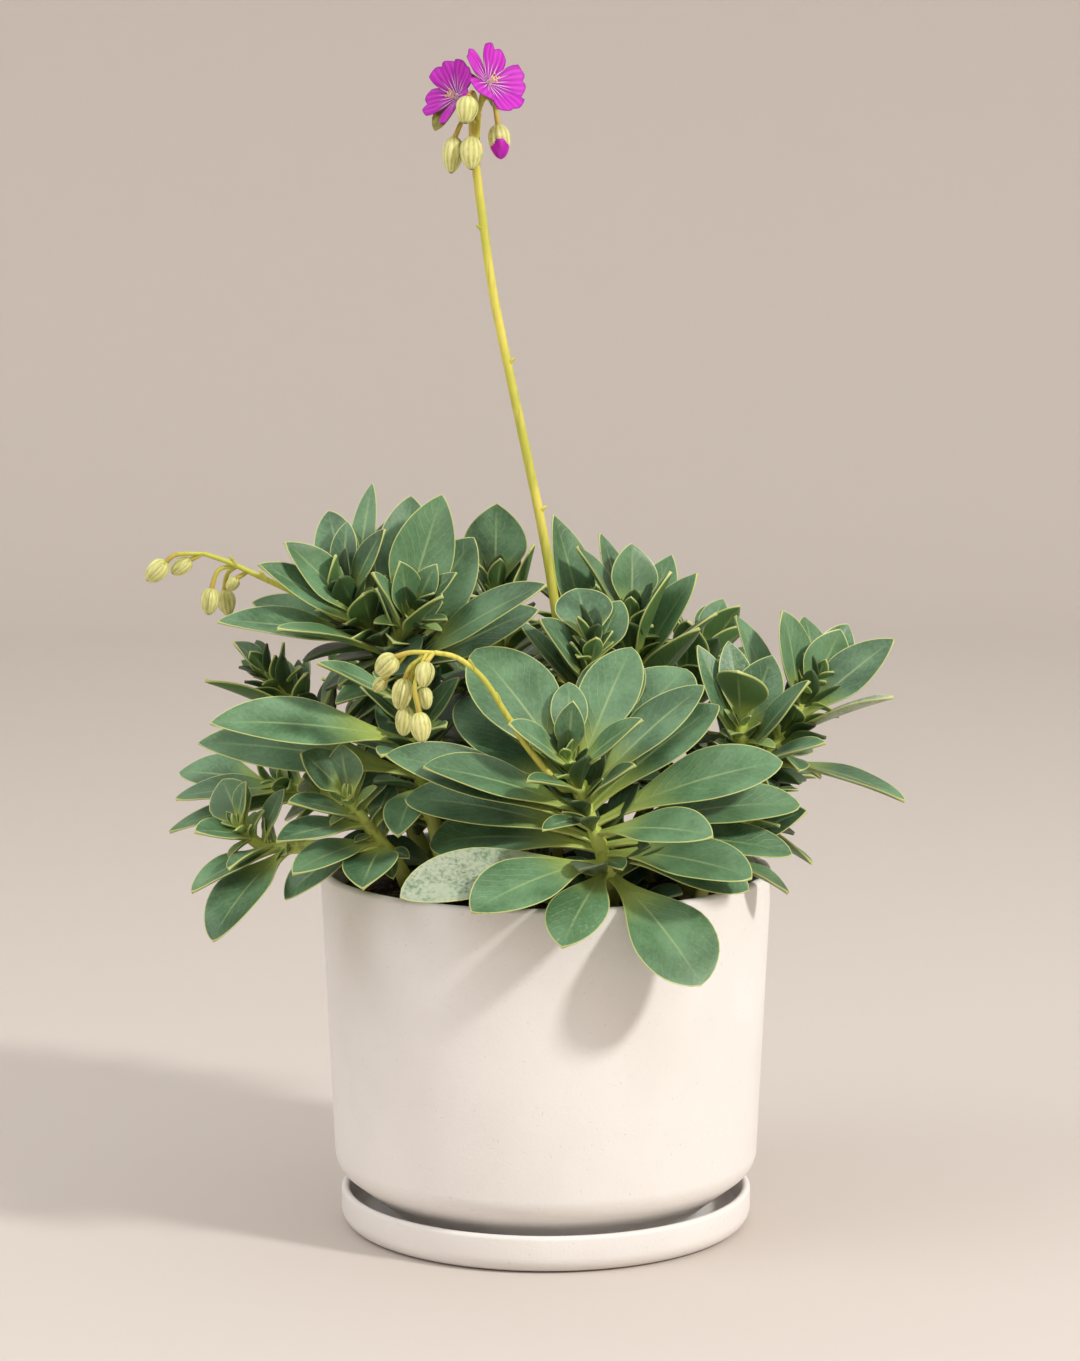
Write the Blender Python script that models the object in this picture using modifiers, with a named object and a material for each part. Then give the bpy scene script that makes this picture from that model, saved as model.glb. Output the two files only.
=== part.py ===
# Potted rock purslane: a branching succulent with spoon-shaped leaves, one tall
# flower stalk and two nodding bud stalks, in a ceramic pot that stands in its saucer.
# Lengths in the tables are millimetres. +Z is up, -Y is the front, and the origin
# is the centre of the saucer's underside.

import math

import bmesh
import bpy
from mathutils import Matrix, Vector
from mathutils.bvhtree import BVHTree

MM = 0.001
GAP = 0.3

# Pot and saucer, as radii and heights. The pot's side turns through the undercut
# angle, in degrees, and then slants straight in to its foot.
POT_RIM_R = 125.0
POT_RIM_Z = 201.0
POT_SIDE_R = 117.8
POT_CORNER_R = 16.0
POT_CORNER_Z = 42.0
POT_UNDERCUT = 52.0
POT_WALL = 5.6
POT_FLOOR = 8.0
DRAIN_R = 7.0
SAUCER_R = 114.4
SAUCER_Z = 21.0
SAUCER_WALL = 4.6
SAUCER_FLOOR = 4.0
SAUCER_CORNER_R = 9.0
SAUCER_WELL_R = 4.0
ROUND_SIDES = 36
CORNER_STEPS = 3

# Soil
SOIL_Z = 186.0
SOIL_DOME = 5.0
SOIL_RELIEF = 1.2
HOLE_DEPTH = 26.0
HOLE_ROOM = 1.3
CUTTER_ABOVE = 20.0
SOIL_RINGS = (0.0, 40.0, 80.0)
STEM_COLLAR = 3.0
STEM_SIDES = 6

# Leaf blades. Stations are shares of the length, between a pointed root and the tip.
LONG_LEAF = 48.0
LONG_STATIONS = (0.26, 0.5, 0.74, 0.92)
SHORT_STATIONS = (0.3, 0.6, 0.86)
LEAF_NECK = 0.17
NECK_WIDTH = 4.5
BLUNT_PEAK = 0.68
SPEAR_PEAK = 0.57
LEAF_FOLD = 0.34
LEAF_FLATTER = 3.5
LEAF_ARCH = 34.0
UPRIGHT_EASE = 0.8
LEAF_THICK = 2.5
LEAF_CLEAR = 0.5
FILL_WIDTH = 0.42
FILL_RISE = (8, 58)
FILL_SHORTER = 0.5
FILL_LOWER = 8.0
SHRINK = 0.88
ROOT_SINK = 2.0
GOLDEN_ANGLE = math.radians(137.508)

# Flowers
BUD_RIBS = 8
BUD_RIB_DEPTH = 0.07
BUD_TAPER = 0.16
BUD_SEAT = 0.42
PETAL_THICK = 0.8
PETALS = 5
PETAL_HUB_R = 2.6
STAMEN_HUB = (1.5, 1.2)
STAMEN_RUN = (0.7, 7.0)
STAMEN_SPREAD = (0.7, 3.2)
RECEPTACLE = (1.6, 2.6, 3.2)
RECEPTACLE_JOIN = 2.5

GREEN = (0.13, 0.27, 0.15)
STALK_GREEN = (0.45, 0.47, 0.10)
MAGENTA = (0.62, 0.03, 0.60)
CREAM = (0.85, 0.80, 0.45)
CERAMIC = (0.86, 0.83, 0.79)
SOIL_BROWN = (0.05, 0.035, 0.025)

# Each leafy stem stands in the soil at its foot and runs through its route to a
# crown. A signature leaf is the place of its tip and its width, listed from the
# lowest on the stem to the highest. Fill leaves follow the golden angle.
STEMS = [
    {
        "name": "stem_front",
        "foot": (34, -86),
        "radius": (5.6, 3.4),
        "axes": [
            {
                "route": [(33, -96, 215), (25, -99, 240), (11, -100, 276)],
                "facing": (0.0, -0.55, 0.83),
                "crown": 66,
                "blunt": True,
                "leaves": [
                    (80, -142, 160, 46),
                    (8, -158, 188, 32),
                    (-76, -142, 211, 36),
                    (-40, -160, 200, 36),
                    (106, -128, 212, 26),
                    (107, -140, 221, 34),
                    (-62, -84, 228, 34),
                    (130, -100, 226, 28),
                    (-75, -92, 254, 36),
                    (135, -88, 250, 32),
                    (86, -150, 245, 30),
                    (-84, -118, 282, 34),
                    (125, -98, 275, 36),
                    (-2, -138, 246, 12),
                    (-64, -130, 278, 32),
                    (92, -84, 303, 34),
                    (-47, -60, 302, 46),
                    (46, -136, 280, 17),
                    (84, -80, 313, 28),
                    (81, -56, 320, 44),
                    (-13, -141, 275, 14),
                    (-38, -62, 330, 48),
                    (46, -60, 331, 33),
                    (30, -40, 327, 36),
                    (50, -124, 302, 20),
                    (-23, -120, 300, 24),
                    (12, -74, 314, 20),
                    (14, -106, 309, 17),
                ],
                "fill": 3,
                "fill_length": 34,
            }
        ],
    },
    {
        "name": "stem_left_top",
        "foot": (-30, -26),
        "radius": (6.0, 4.0),
        "axes": [
            {
                "route": [(-40, -28, 230), (-68, -34, 290), (-82, -37, 326), (-70, -44, 350)],
                "facing": (0.15, -0.6, 0.8),
                "crown": 44,
                "leaves": [
                    (-4, -50, 350, 28),
                    (0, -76, 367, 30),
                    (-39, -22, 386, 36),
                    (-66, -6, 406, 34),
                    (-56, -28, 410, 35),
                    (-55, -78, 361, 22),
                    (-92, -72, 373, 17),
                    (-78, -56, 377, 20),
                    (-48, -56, 371, 14),
                    (-61, -50, 376, 15),
                ],
                "fill": 6,
                "fill_length": 50,
            },
            {
                "route": [(-76, -35, 312), (-94, -26, 334), (-112, -26, 356)],
                "facing": (-0.3, -0.55, 0.8),
                "crown": 42,
                "leaves": [
                    (-142, -88, 345, 22),
                    (-175, -68, 346, 28),
                    (-160, -20, 350, 24),
                    (-162, -50, 366, 25),
                    (-98, -60, 360, 20),
                    (-152, -36, 378, 26),
                    (-84, 4, 394, 16),
                    (-95, 4, 413, 15),
                    (-119, 2, 398, 25),
                    (-87, -34, 392, 18),
                    (-108, -14, 394, 16),
                    (-116, -44, 379, 18),
                ],
                "fill": 4,
                "fill_length": 40,
            },
        ],
    },
    {
        "name": "stem_left_middle",
        "foot": (-52, -52),
        "radius": (5.2, 3.4),
        "axes": [
            {
                "route": [(-58, -56, 225), (-68, -62, 265), (-72, -64, 300)],
                "facing": (-0.2, -0.6, 0.75),
                "crown": 40,
                "leaves": [
                    (-186, -72, 281, 33),
                    (-176, -112, 298, 35),
                    (-120, -104, 329, 17),
                ],
                "fill": 8,
                "fill_length": 60,
            },
            {
                "route": [(-62, -58, 240), (-110, -40, 246), (-148, -30, 250)],
                "facing": (-0.4, -0.45, 0.8),
                "crown": 34,
                "leaves": [
                    (-205, -40, 227, 17),
                    (-201, -44, 246, 24),
                    (-201, -22, 260, 28),
                ],
                "fill": 6,
                "fill_length": 40,
            },
        ],
    },
    {
        "name": "stem_left_low",
        "foot": (-72, -56),
        "radius": (5.2, 3.2),
        "axes": [
            {
                "route": [(-80, -64, 214), (-93, -75, 234), (-107, -82, 254)],
                "facing": (-0.15, -0.55, 0.85),
                "crown": 38,
                "leaves": [
                    (-96, -128, 213, 30),
                    (-134, -112, 213, 24),
                    (-139, -92, 200, 24),
                    (-82, -66, 258, 20),
                    (-142, -112, 235, 22),
                    (-136, -106, 255, 21),
                    (-88, -62, 270, 18),
                    (-96, -52, 272, 18),
                    (-109, -72, 281, 21),
                    (-134, -88, 276, 27),
                ],
                "fill": 5,
                "fill_length": 22,
            },
            {
                "route": [(-88, -70, 224), (-128, -68, 224), (-151, -68, 224), (-165, -72, 236)],
                "facing": (-0.45, -0.5, 0.75),
                "crown": 34,
                "leaves": [
                    (-176, -114, 182, 36),
                    (-188, -102, 206, 23),
                    (-166, -106, 212, 15),
                    (-140, -70, 256, 15),
                    (-187, -88, 236, 25),
                    (-174, -58, 259, 26),
                    (-160, -76, 261, 15),
                ],
                "fill": 5,
                "fill_length": 22,
            },
        ],
    },
    {
        "name": "stem_left_back",
        "foot": (-62, 4),
        "radius": (5.0, 3.2),
        "axes": [
            {
                "route": [(-80, 6, 230), (-120, 4, 275), (-152, 0, 306)],
                "facing": (-0.5, -0.1, 0.85),
                "crown": 46,
                "leaves": [
                    (-186, -22, 308, 20),
                    (-172, 0, 326, 22),
                ],
                "fill": 11,
                "fill_length": 48,
            }
        ],
    },
    {
        "name": "stem_centre",
        "foot": (26, -34),
        "radius": (5.2, 3.4),
        "axes": [
            {
                "route": [(26, -38, 230), (24, -44, 290), (24, -46, 330)],
                "facing": (0.05, -0.35, 0.93),
                "crown": 48,
                "leaves": [
                    (-15, -68, 330, 20),
                    (-17, -52, 342, 16),
                    (2, -72, 343, 34),
                    (41, -28, 352, 24),
                    (17, -22, 358, 32),
                ],
                "fill": 10,
                "fill_length": 44,
            }
        ],
    },
    {
        "name": "stem_back_centre",
        "foot": (-14, 22),
        "radius": (5.2, 3.4),
        "axes": [
            {
                "route": [(-16, 20, 240), (-24, 14, 300), (-28, 12, 350)],
                "facing": (0.0, -0.1, 1.0),
                "crown": 52,
                "leaves": [
                    (-7, 2, 380, 26),
                    (-15, 24, 384, 22),
                    (-31, 12, 401, 36),
                ],
                "fill": 10,
                "fill_length": 54,
            }
        ],
    },
    {
        "name": "stem_back_right",
        "foot": (36, 8),
        "radius": (5.4, 3.4),
        "axes": [
            {
                "route": [(40, 8, 240), (46, 6, 295), (46, 4, 336)],
                "facing": (0.25, -0.2, 0.95),
                "crown": 50,
                "leaves": [
                    (83, -34, 338, 26),
                    (93, -15, 344, 26),
                    (83, 0, 364, 30),
                    (68, -8, 366, 28),
                    (70, 28, 371, 24),
                    (30, 28, 383, 22),
                    (17, -2, 379, 22),
                    (47, 14, 379, 30),
                ],
                "fill": 8,
                "fill_length": 48,
            },
            {
                "route": [(42, 8, 280), (22, 14, 320), (10, 14, 346)],
                "facing": (-0.1, -0.2, 0.97),
                "crown": 36,
                "leaves": [(4, 12, 395, 28)],
                "fill": 7,
                "fill_length": 46,
            },
        ],
    },
    {
        "name": "stem_right",
        "foot": (76, -26),
        "radius": (5.6, 3.6),
        "axes": [
            {
                "route": [(88, -26, 228), (124, -24, 268), (147, -12, 303)],
                "facing": (0.5, -0.3, 0.8),
                "crown": 50,
                "leaves": [
                    (193, -62, 248, 24),
                    (136, -64, 265, 20),
                    (104, -4, 341, 24),
                    (187, -50, 303, 22),
                    (190, -20, 330, 28),
                    (129, -14, 345, 38),
                    (163, -16, 334, 28),
                    (167, 12, 334, 22),
                    (145, 10, 340, 22),
                ],
                "fill": 6,
                "fill_length": 40,
            },
            {
                "route": [(100, -28, 246), (106, -38, 266), (106, -40, 288)],
                "facing": (0.1, -0.45, 0.88),
                "crown": 34,
                "leaves": [
                    (155, -78, 280, 20),
                    (141, -60, 313, 20),
                    (82, -30, 328, 20),
                    (123, -32, 323, 28),
                    (98, -20, 328, 20),
                    (102, -78, 321, 30),
                ],
                "fill": 5,
                "fill_length": 26,
            },
        ],
    },
    {
        "name": "stem_right_low",
        "foot": (82, -58),
        "radius": (4.8, 3.0),
        "axes": [
            {
                "route": [(92, -60, 214), (108, -62, 236), (116, -62, 252)],
                "facing": (0.4, -0.3, 0.86),
                "crown": 36,
                "leaves": [(140, -66, 243, 30)],
                "fill": 9,
                "fill_length": 42,
            }
        ],
    },
]

# The stems behind fan out by rule: the compass direction of each, seen from above
# with 0 degrees to the right, and the height and reach of its crown.
REAR_STEMS = [
    (8, 268, 122),
    (36, 312, 108),
    (66, 322, 84),
    (92, 280, 118),
    (120, 316, 88),
    (150, 288, 114),
]
REAR_FOOT_REACH = 60.0
REAR_COLLAR = (4.0, 214.0)
REAR_KNEE_Z = 190.0
REAR_KNEE = 0.55
REAR_RADIUS = (5.0, 3.2)
REAR_CROWN = 62
REAR_LEAN = 0.45
REAR_FILL = 11
REAR_LEAF = 80.0

FUSE_KEEP = 0.705
STEM_SPACING = 22.0
STALK_SPACING = 48.0
SIDE_STALK_SPACING = 13.0
STALKLET_SPACING = 7.0

# Flower stalks: points along each stalk, then the stalklets that leave it. A
# stalklet's last point is the top of what hangs or stands on it.
TALL_FOOT = (6, -8)
TALL_STALK = [
    (8, -9, 260),
    (9, -10, 310),
    (6, -10, 340),
    (-1, -10, 384),
    (-10, -10, 428),
    (-21, -10, 480),
    (-29, -10, 520),
    (-34, -10, 556),
    (-38, -10, 590),
    (-37, -11, 614),
]
TALL_RADIUS = (2.9, 2.3)
TALL_BRACTS = [(0.52, 1), (0.7, 1), (0.86, -1)]
LEFT_SEAT = (1, 0.8, (-0.8, -0.5, 0.0))
LEFT_STALK = [(-134, -38, 357), (-154, -42, 367), (-170, -45, 375), (-184, -46, 380)]
FRONT_SEAT = (0, 0.9, (-0.85, -0.5, 0.0))
FRONT_STALK = [(-10, -114, 286), (-22, -121, 306), (-33, -126, 324), (-46, -129, 335), (-58, -130, 338)]
SEAT_RUN = 5.0
STALK_RADIUS = (2.0, 1.3)
PETAL_HUB_DEPTH = 2.0
BUD_STALK_R = 1.1
BRACT_WIDTH = 3.2
BRACT_LENGTH = 6.8

# A bud: points of its stalklet, its centre, length and width
TALL_BUDS = [
    ([(-37, -12, 611), (-37, -24, 619), (-39, -36, 625), (-41, -43, 625)], (-42, -45, 616), 15, 12),
    ([(-38, -11, 609), (-44, -14, 611), (-49, -17, 602)], (-50, -18, 592), 20, 11),
    ([(-38, -12, 609), (-40, -19, 611), (-40, -23, 603)], (-40, -24, 593), 18, 12),
]
OPENING_BUD = ([(-37, -11, 612), (-33, -12, 622), (-28, -13, 619), (-26, -14, 610)], (-25, -14, 599), 19, 12)
LEFT_BUDS = [
    ([(-184, -46, 380), (-192, -46, 376)], (-196, -46, 373), 13, 9),
    ([(-184, -46, 380), (-198, -50, 380), (-204, -50, 376)], (-209, -50, 371), 15, 11),
    ([(-166, -43, 373), (-176, -44, 371), (-180, -45, 362)], (-181, -45, 354), 15, 10),
    ([(-166, -43, 373), (-172, -37, 368), (-174, -34, 360)], (-173, -33, 352), 15, 10),
    ([(-160, -41, 370), (-166, -42, 367)], (-169, -42, 363), 9, 7),
]
FRONT_BUDS = [
    ([(-58, -130, 338), (-70, -130, 338), (-78, -129, 336)], (-83, -128, 331), 14, 12),
    ([(-72, -130, 338), (-80, -122, 328)], (-87, -117, 319), 10, 7),
    ([(-58, -130, 338), (-62, -133, 335)], (-63, -134, 327), 14, 10),
    ([(-60, -130, 338), (-70, -129, 331), (-73, -129, 326)], (-75, -129, 316), 17, 11),
    ([(-60, -130, 338), (-65, -126, 330), (-64, -124, 321)], (-63, -124, 313), 12, 8),
    ([(-64, -130, 338), (-71, -121, 322), (-73, -119, 309)], (-74, -118, 300), 16, 10),
    ([(-62, -130, 338), (-68, -136, 322), (-66, -137, 309)], (-65, -138, 300), 16, 11),
]

# A bloom: points of its stalklet, its centre, the way it faces, the length of its
# petals, the turn of the first petal, and the tips of its sepals
BLOOMS = [
    {
        "name": "bloom_left",
        "route": [(-38, -11, 611), (-41, -12, 617)],
        "centre": (-47.5, -14, 623),
        "facing": (-0.75, -0.60, 0.27),
        "petal": 22,
        "turn": 55,
        "sepals": [(-60, -11, 605), (-41, -5, 633)],
    },
    {
        "name": "bloom_right",
        "route": [(-37, -12, 611), (-35, -16, 620)],
        "centre": (-31, -25, 630),
        "facing": (0.62, -0.60, 0.50),
        "petal": 23,
        "turn": 64,
        "sepals": [(-38, -14, 632), (-29, -17, 619)],
    },
]
PETAL_CUP = math.radians(25)
PETAL_NOTCH = 0.09
PETAL_NOTCH_WIDTH = 0.3
PETAL_START = 1.4
PETAL_CLAW = 0.08
PETAL_SWELL = 0.25
PETAL_FULL = 1.15
PETAL_ROUND = 0.2
PETAL_DROOP = 0.08
PETAL_TROUGH = 0.05
SEPAL_WIDTH = 10.0
SEPAL_SEAT = 2.0
STAMENS = 6
STAMEN_RADIUS = (0.45, 0.8)


def metres(point):
    return Vector(point) * MM


def clear_scene():
    for obj in list(bpy.data.objects):
        bpy.data.objects.remove(obj, do_unlink=True)


def new_collection(name):
    collection = bpy.data.collections.new(name)
    bpy.context.scene.collection.children.link(collection)
    return collection


def material(name, colour, roughness):
    made = bpy.data.materials.new(name)
    made.use_nodes = True
    shader = made.node_tree.nodes["Principled BSDF"]
    shader.inputs["Base Color"].default_value = (*colour, 1.0)
    shader.inputs["Roughness"].default_value = roughness
    shader.inputs["Metallic"].default_value = 0.0
    made.diffuse_color = (*colour, 1.0)
    return made


def add_object(name, mesh, collection, finish=None):
    obj = bpy.data.objects.new(name, mesh)
    collection.objects.link(obj)
    if finish and not mesh.materials:
        mesh.materials.append(finish)
    return obj


def baked_mesh(obj):
    """The mesh that an object's modifiers or its bevel make, with its caps welded on."""
    bpy.context.view_layer.update()
    graph = bpy.context.evaluated_depsgraph_get()
    mesh = bpy.data.meshes.new_from_object(obj.evaluated_get(graph))
    bm = bmesh.new()
    bm.from_mesh(mesh)
    bmesh.ops.remove_doubles(bm, verts=bm.verts, dist=1e-6)
    bm.to_mesh(mesh)
    bm.free()
    return mesh


def smooth_sides(mesh, angle=35):
    mesh.shade_smooth()
    mesh.set_sharp_from_angle(angle=math.radians(angle))


# Pot, saucer and soil


def arc(centre, radius, start, end, count):
    """Points (radius, height) of an arc, in degrees from the outward direction."""
    points = []
    for i in range(count + 1):
        a = math.radians(start + (end - start) * i / count)
        points.append((centre[0] + radius * math.cos(a), centre[1] + radius * math.sin(a)))
    return points


def turned(name, profile, closed, collection, finish):
    """A profile of (radius, height) points, turned about +Z."""
    mesh = bpy.data.meshes.new(name)
    bm = bmesh.new()
    corners = [bm.verts.new((r * MM, 0.0, z * MM)) for r, z in profile]
    for first, second in zip(corners, corners[1:]):
        bm.edges.new((first, second))
    if closed:
        bm.edges.new((corners[-1], corners[0]))
    bm.to_mesh(mesh)
    bm.free()
    obj = add_object(name, mesh, collection, finish)
    screw = obj.modifiers.new("turn", "SCREW")
    screw.axis = "Z"
    screw.steps = screw.render_steps = ROUND_SIDES
    screw.use_merge_vertices = True
    screw.merge_threshold = 0.00005
    obj.data = baked_mesh(obj)
    obj.modifiers.clear()
    smooth_sides(obj.data)
    return obj


def pot_corner(bend, low_z):
    """The round corner of the pot, this tight, and the end of the slant below it."""
    points = arc((POT_SIDE_R - POT_CORNER_R, POT_CORNER_Z), bend, -POT_UNDERCUT, 0, CORNER_STEPS)
    radius, height = points[0]
    slant = math.tan(math.radians(90 - POT_UNDERCUT))
    return [(radius - (height - low_z) / slant, low_z)] + points


def pot_inside(clearance):
    """The pot's inner outline from the floor up to the rim, this far inside the wall."""
    shift = POT_WALL + clearance
    floor_z = SAUCER_FLOOR + GAP + POT_FLOOR + clearance
    return pot_corner(POT_CORNER_R - shift, floor_z) + [(POT_RIM_R - shift, POT_RIM_Z)]


def make_pot(collection, finish):
    lip = POT_WALL / 2
    outside = arc((POT_RIM_R - lip, POT_RIM_Z - lip), lip, 90, 0, 2)
    outside += pot_corner(POT_CORNER_R, SAUCER_FLOOR + GAP)[::-1]
    inside = pot_inside(0.0)[:-1]
    floor_z = inside[0][1]
    drain = [(DRAIN_R, SAUCER_FLOOR + GAP), (DRAIN_R, floor_z)]
    inner_lip = arc((POT_RIM_R - lip, POT_RIM_Z - lip), lip, 180, 135, 1)
    return turned("pot", outside + drain + inside + inner_lip, True, collection, finish)


def make_saucer(collection, finish):
    lip = SAUCER_WALL / 2
    inner_r = SAUCER_R - SAUCER_WALL - SAUCER_WELL_R
    profile = [(0.0, SAUCER_FLOOR)]
    profile += arc((inner_r, SAUCER_FLOOR + SAUCER_WELL_R), SAUCER_WELL_R, -90, 0, 2)
    profile += arc((SAUCER_R - lip, SAUCER_Z - lip), lip, 180, 0, 3)
    profile += arc((SAUCER_R - SAUCER_CORNER_R, SAUCER_CORNER_R), SAUCER_CORNER_R, 0, -90, 3)
    profile.append((0.0, 0.0))
    return turned("saucer", profile, False, collection, finish)


def soil_height(x, y):
    """The soil's uneven top, in millimetres."""
    reach = math.hypot(x, y) / (POT_RIM_R - POT_WALL)
    waves = math.sin(x * 0.11 + 1.0) * math.cos(y * 0.13) + 0.6 * math.sin((x - y) * 0.21)
    return SOIL_Z + SOIL_DOME * (1 - reach * reach) + SOIL_RELIEF * waves


def make_soil(collection, cutters, finish):
    outer = pot_inside(GAP)
    low_r, low_z = outer[-2]
    top_r = outer[-1][0] - (POT_RIM_Z - SOIL_Z) * (outer[-1][0] - low_r) / (POT_RIM_Z - low_z)
    profile = [(r, SOIL_Z) for r in SOIL_RINGS] + [(top_r, SOIL_Z)] + outer[-2::-1]
    profile.append((0.0, outer[0][1]))
    soil = turned("soil", profile, False, collection, finish)
    for vertex in soil.data.vertices:
        if vertex.co.z > (SOIL_Z - 0.01) * MM:
            x, y = vertex.co.x / MM, vertex.co.y / MM
            drop = 0.0 if math.hypot(x, y) < top_r - 1 else SOIL_RELIEF * 2
            vertex.co.z = (soil_height(x, y) - drop) * MM
    cut = soil.modifiers.new("stem holes", "BOOLEAN")
    cut.operation = "DIFFERENCE"
    cut.operand_type = "COLLECTION"
    cut.collection = cutters
    return soil


def soil_hole(name, foot, radius, cutters):
    """A plain round hole for a stem's foot."""
    depth = HOLE_DEPTH + CUTTER_ABOVE
    bm = bmesh.new()
    bmesh.ops.create_cone(
        bm,
        cap_ends=True,
        segments=STEM_SIDES,
        radius1=(radius + HOLE_ROOM) * MM,
        radius2=(radius + HOLE_ROOM) * MM,
        depth=depth * MM,
    )
    middle = SOIL_Z - HOLE_DEPTH - GAP + depth / 2
    bmesh.ops.translate(bm, verts=bm.verts, vec=metres((foot[0], foot[1], middle)))
    cutter = mesh_object(name, bm, cutters)
    cutter.hide_render = True
    cutter.display_type = "WIRE"


# Stems and stalks


def smooth_path(points, spacing):
    """A smooth curve through hand-placed points, sampled about this far apart."""
    ends = [points[0] * 2 - points[1], *points, points[-1] * 2 - points[-2]]
    path = []
    for i in range(1, len(ends) - 2):
        before, start, end, after = ends[i - 1 : i + 3]
        steps = max(1, round((end - start).length / spacing))
        for step in range(steps):
            t = step / steps
            path.append(
                0.5
                * (
                    2 * start
                    + (end - before) * t
                    + (2 * before - 5 * start + 4 * end - after) * t * t
                    + (3 * start - before - 3 * end + after) * t * t * t
                )
            )
    path.append(points[-1].copy())
    return path


def rooted_path(foot, points, spacing):
    """A path that stands straight in its hole in the soil, then follows its points."""
    low = metres((*foot, SOIL_Z - HOLE_DEPTH))
    collar = metres((*foot, SOIL_Z + SOIL_DOME + STEM_COLLAR))
    return [low] + smooth_path([collar] + points, spacing * MM)


def tube(name, path, radii, collection, rounding=1):
    """A tapering tube as a curve with a bevel, made a mesh: 6-sided, or 4-sided for rounding 0."""
    curve = bpy.data.curves.new(name, "CURVE")
    curve.dimensions = "3D"
    curve.bevel_depth = MM
    curve.bevel_resolution = rounding
    curve.use_fill_caps = True
    spline = curve.splines.new("POLY")
    spline.points.add(len(path) - 1)
    for i, point in enumerate(path):
        spline.points[i].co = (*point, 1.0)
        spline.points[i].radius = radii[0] + (radii[1] - radii[0]) * i / (len(path) - 1)
    guide = bpy.data.objects.new(name + "_curve", curve)
    collection.objects.link(guide)
    mesh = baked_mesh(guide)
    bpy.data.objects.remove(guide, do_unlink=True)
    return add_object(name, mesh, collection)


def along(path, share):
    """The point and direction at a share of a path's length, 0 at its start."""
    lengths = [(b - a).length for a, b in zip(path, path[1:])]
    left = max(0.0, min(1.0, share)) * sum(lengths)
    for a, b, length in zip(path, path[1:], lengths):
        if left <= length or b is path[-1]:
            return a.lerp(b, min(1.0, left / length)), (b - a).normalized()
        left -= length
    return path[-1], (path[-1] - path[-2]).normalized()


def path_length(path):
    return sum((b - a).length for a, b in zip(path, path[1:]))


# Leaf blades


def outline(t, neck, blunt):
    """Half-width of a leaf as a share of its widest: spoon-shaped if blunt, else spear-shaped."""
    peak = BLUNT_PEAK if blunt else SPEAR_PEAK
    if t < peak:
        s = t / peak
        return neck + (1 - neck) * (s * s * (3 - 2 * s)) ** 1.1
    s = (t - peak) / (1 - peak)
    return (1 - s**2.3) ** 0.75 if blunt else 1 - s**1.8


def blade_mesh(root, tip, width, facing, blunt=False, grow=0.0, first=0):
    """An arched, folded blade from a point inside its stem to its tip.

    grow thickens it all round, and first leaves out its lowest stations.
    """
    chord = tip - root
    length = chord.length
    ahead = chord / length
    up = (facing - facing.dot(ahead) * ahead).normalized()
    bend = math.radians(LEAF_ARCH * (1 - UPRIGHT_EASE * ahead.dot(facing)))
    start = ahead * math.cos(bend / 2) + up * math.sin(bend / 2)
    rise = up * math.cos(bend / 2) - ahead * math.sin(bend / 2)
    side = ahead.cross(up)
    turn = length / (2 * math.sin(bend / 2))
    stations = LONG_STATIONS if length > LONG_LEAF * MM else SHORT_STATIONS
    neck = max(LEAF_NECK, NECK_WIDTH * MM / width)
    fold = LEAF_FOLD - LEAF_FLATTER * width
    bm = bmesh.new()
    loops = []
    for t in stations[first:]:
        angle = bend * t
        middle = root + turn * (start * math.sin(angle) - rise * (1 - math.cos(angle)))
        normal = rise * math.cos(angle) + start * math.sin(angle)
        half = width / 2 * outline(t, neck, blunt)
        thick = LEAF_THICK * MM * (1.3 - 0.6 * t)
        edge = side * (half + grow)
        lift = normal * fold * half
        corners = (
            middle - edge + lift,
            middle + normal * (0.3 * thick + grow),
            middle + edge + lift,
            middle - normal * (0.7 * thick + grow),
        )
        loops.append([bm.verts.new(corner) for corner in corners])
    for low, high in zip(loops, loops[1:]):
        for i in range(4):
            bm.faces.new((low[i], low[i - 3], high[i - 3], high[i]))
    point = bm.verts.new(tip + ahead * grow)
    for i in range(4):
        bm.faces.new((loops[-1][i], loops[-1][i - 3], point))
    if first:
        bm.faces.new(loops[0][::-1])
    else:
        heel = bm.verts.new(root - start * ROOT_SINK * MM)
        for i in range(4):
            bm.faces.new((loops[0][i - 3], loops[0][i], heel))
    bmesh.ops.triangulate(bm, faces=bm.faces)
    face_outwards(bm)
    return bm


def face_outwards(bm):
    bm.normal_update()
    bmesh.ops.recalc_face_normals(bm, faces=bm.faces)
    if bm.calc_volume(signed=True) < 0:
        bmesh.ops.reverse_faces(bm, faces=bm.faces)


def mesh_object(name, bm, home):
    """Turns a finished bmesh into an object, and frees it."""
    mesh = bpy.data.meshes.new(name)
    bm.to_mesh(mesh)
    bm.free()
    return add_object(name, mesh, home)


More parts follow.
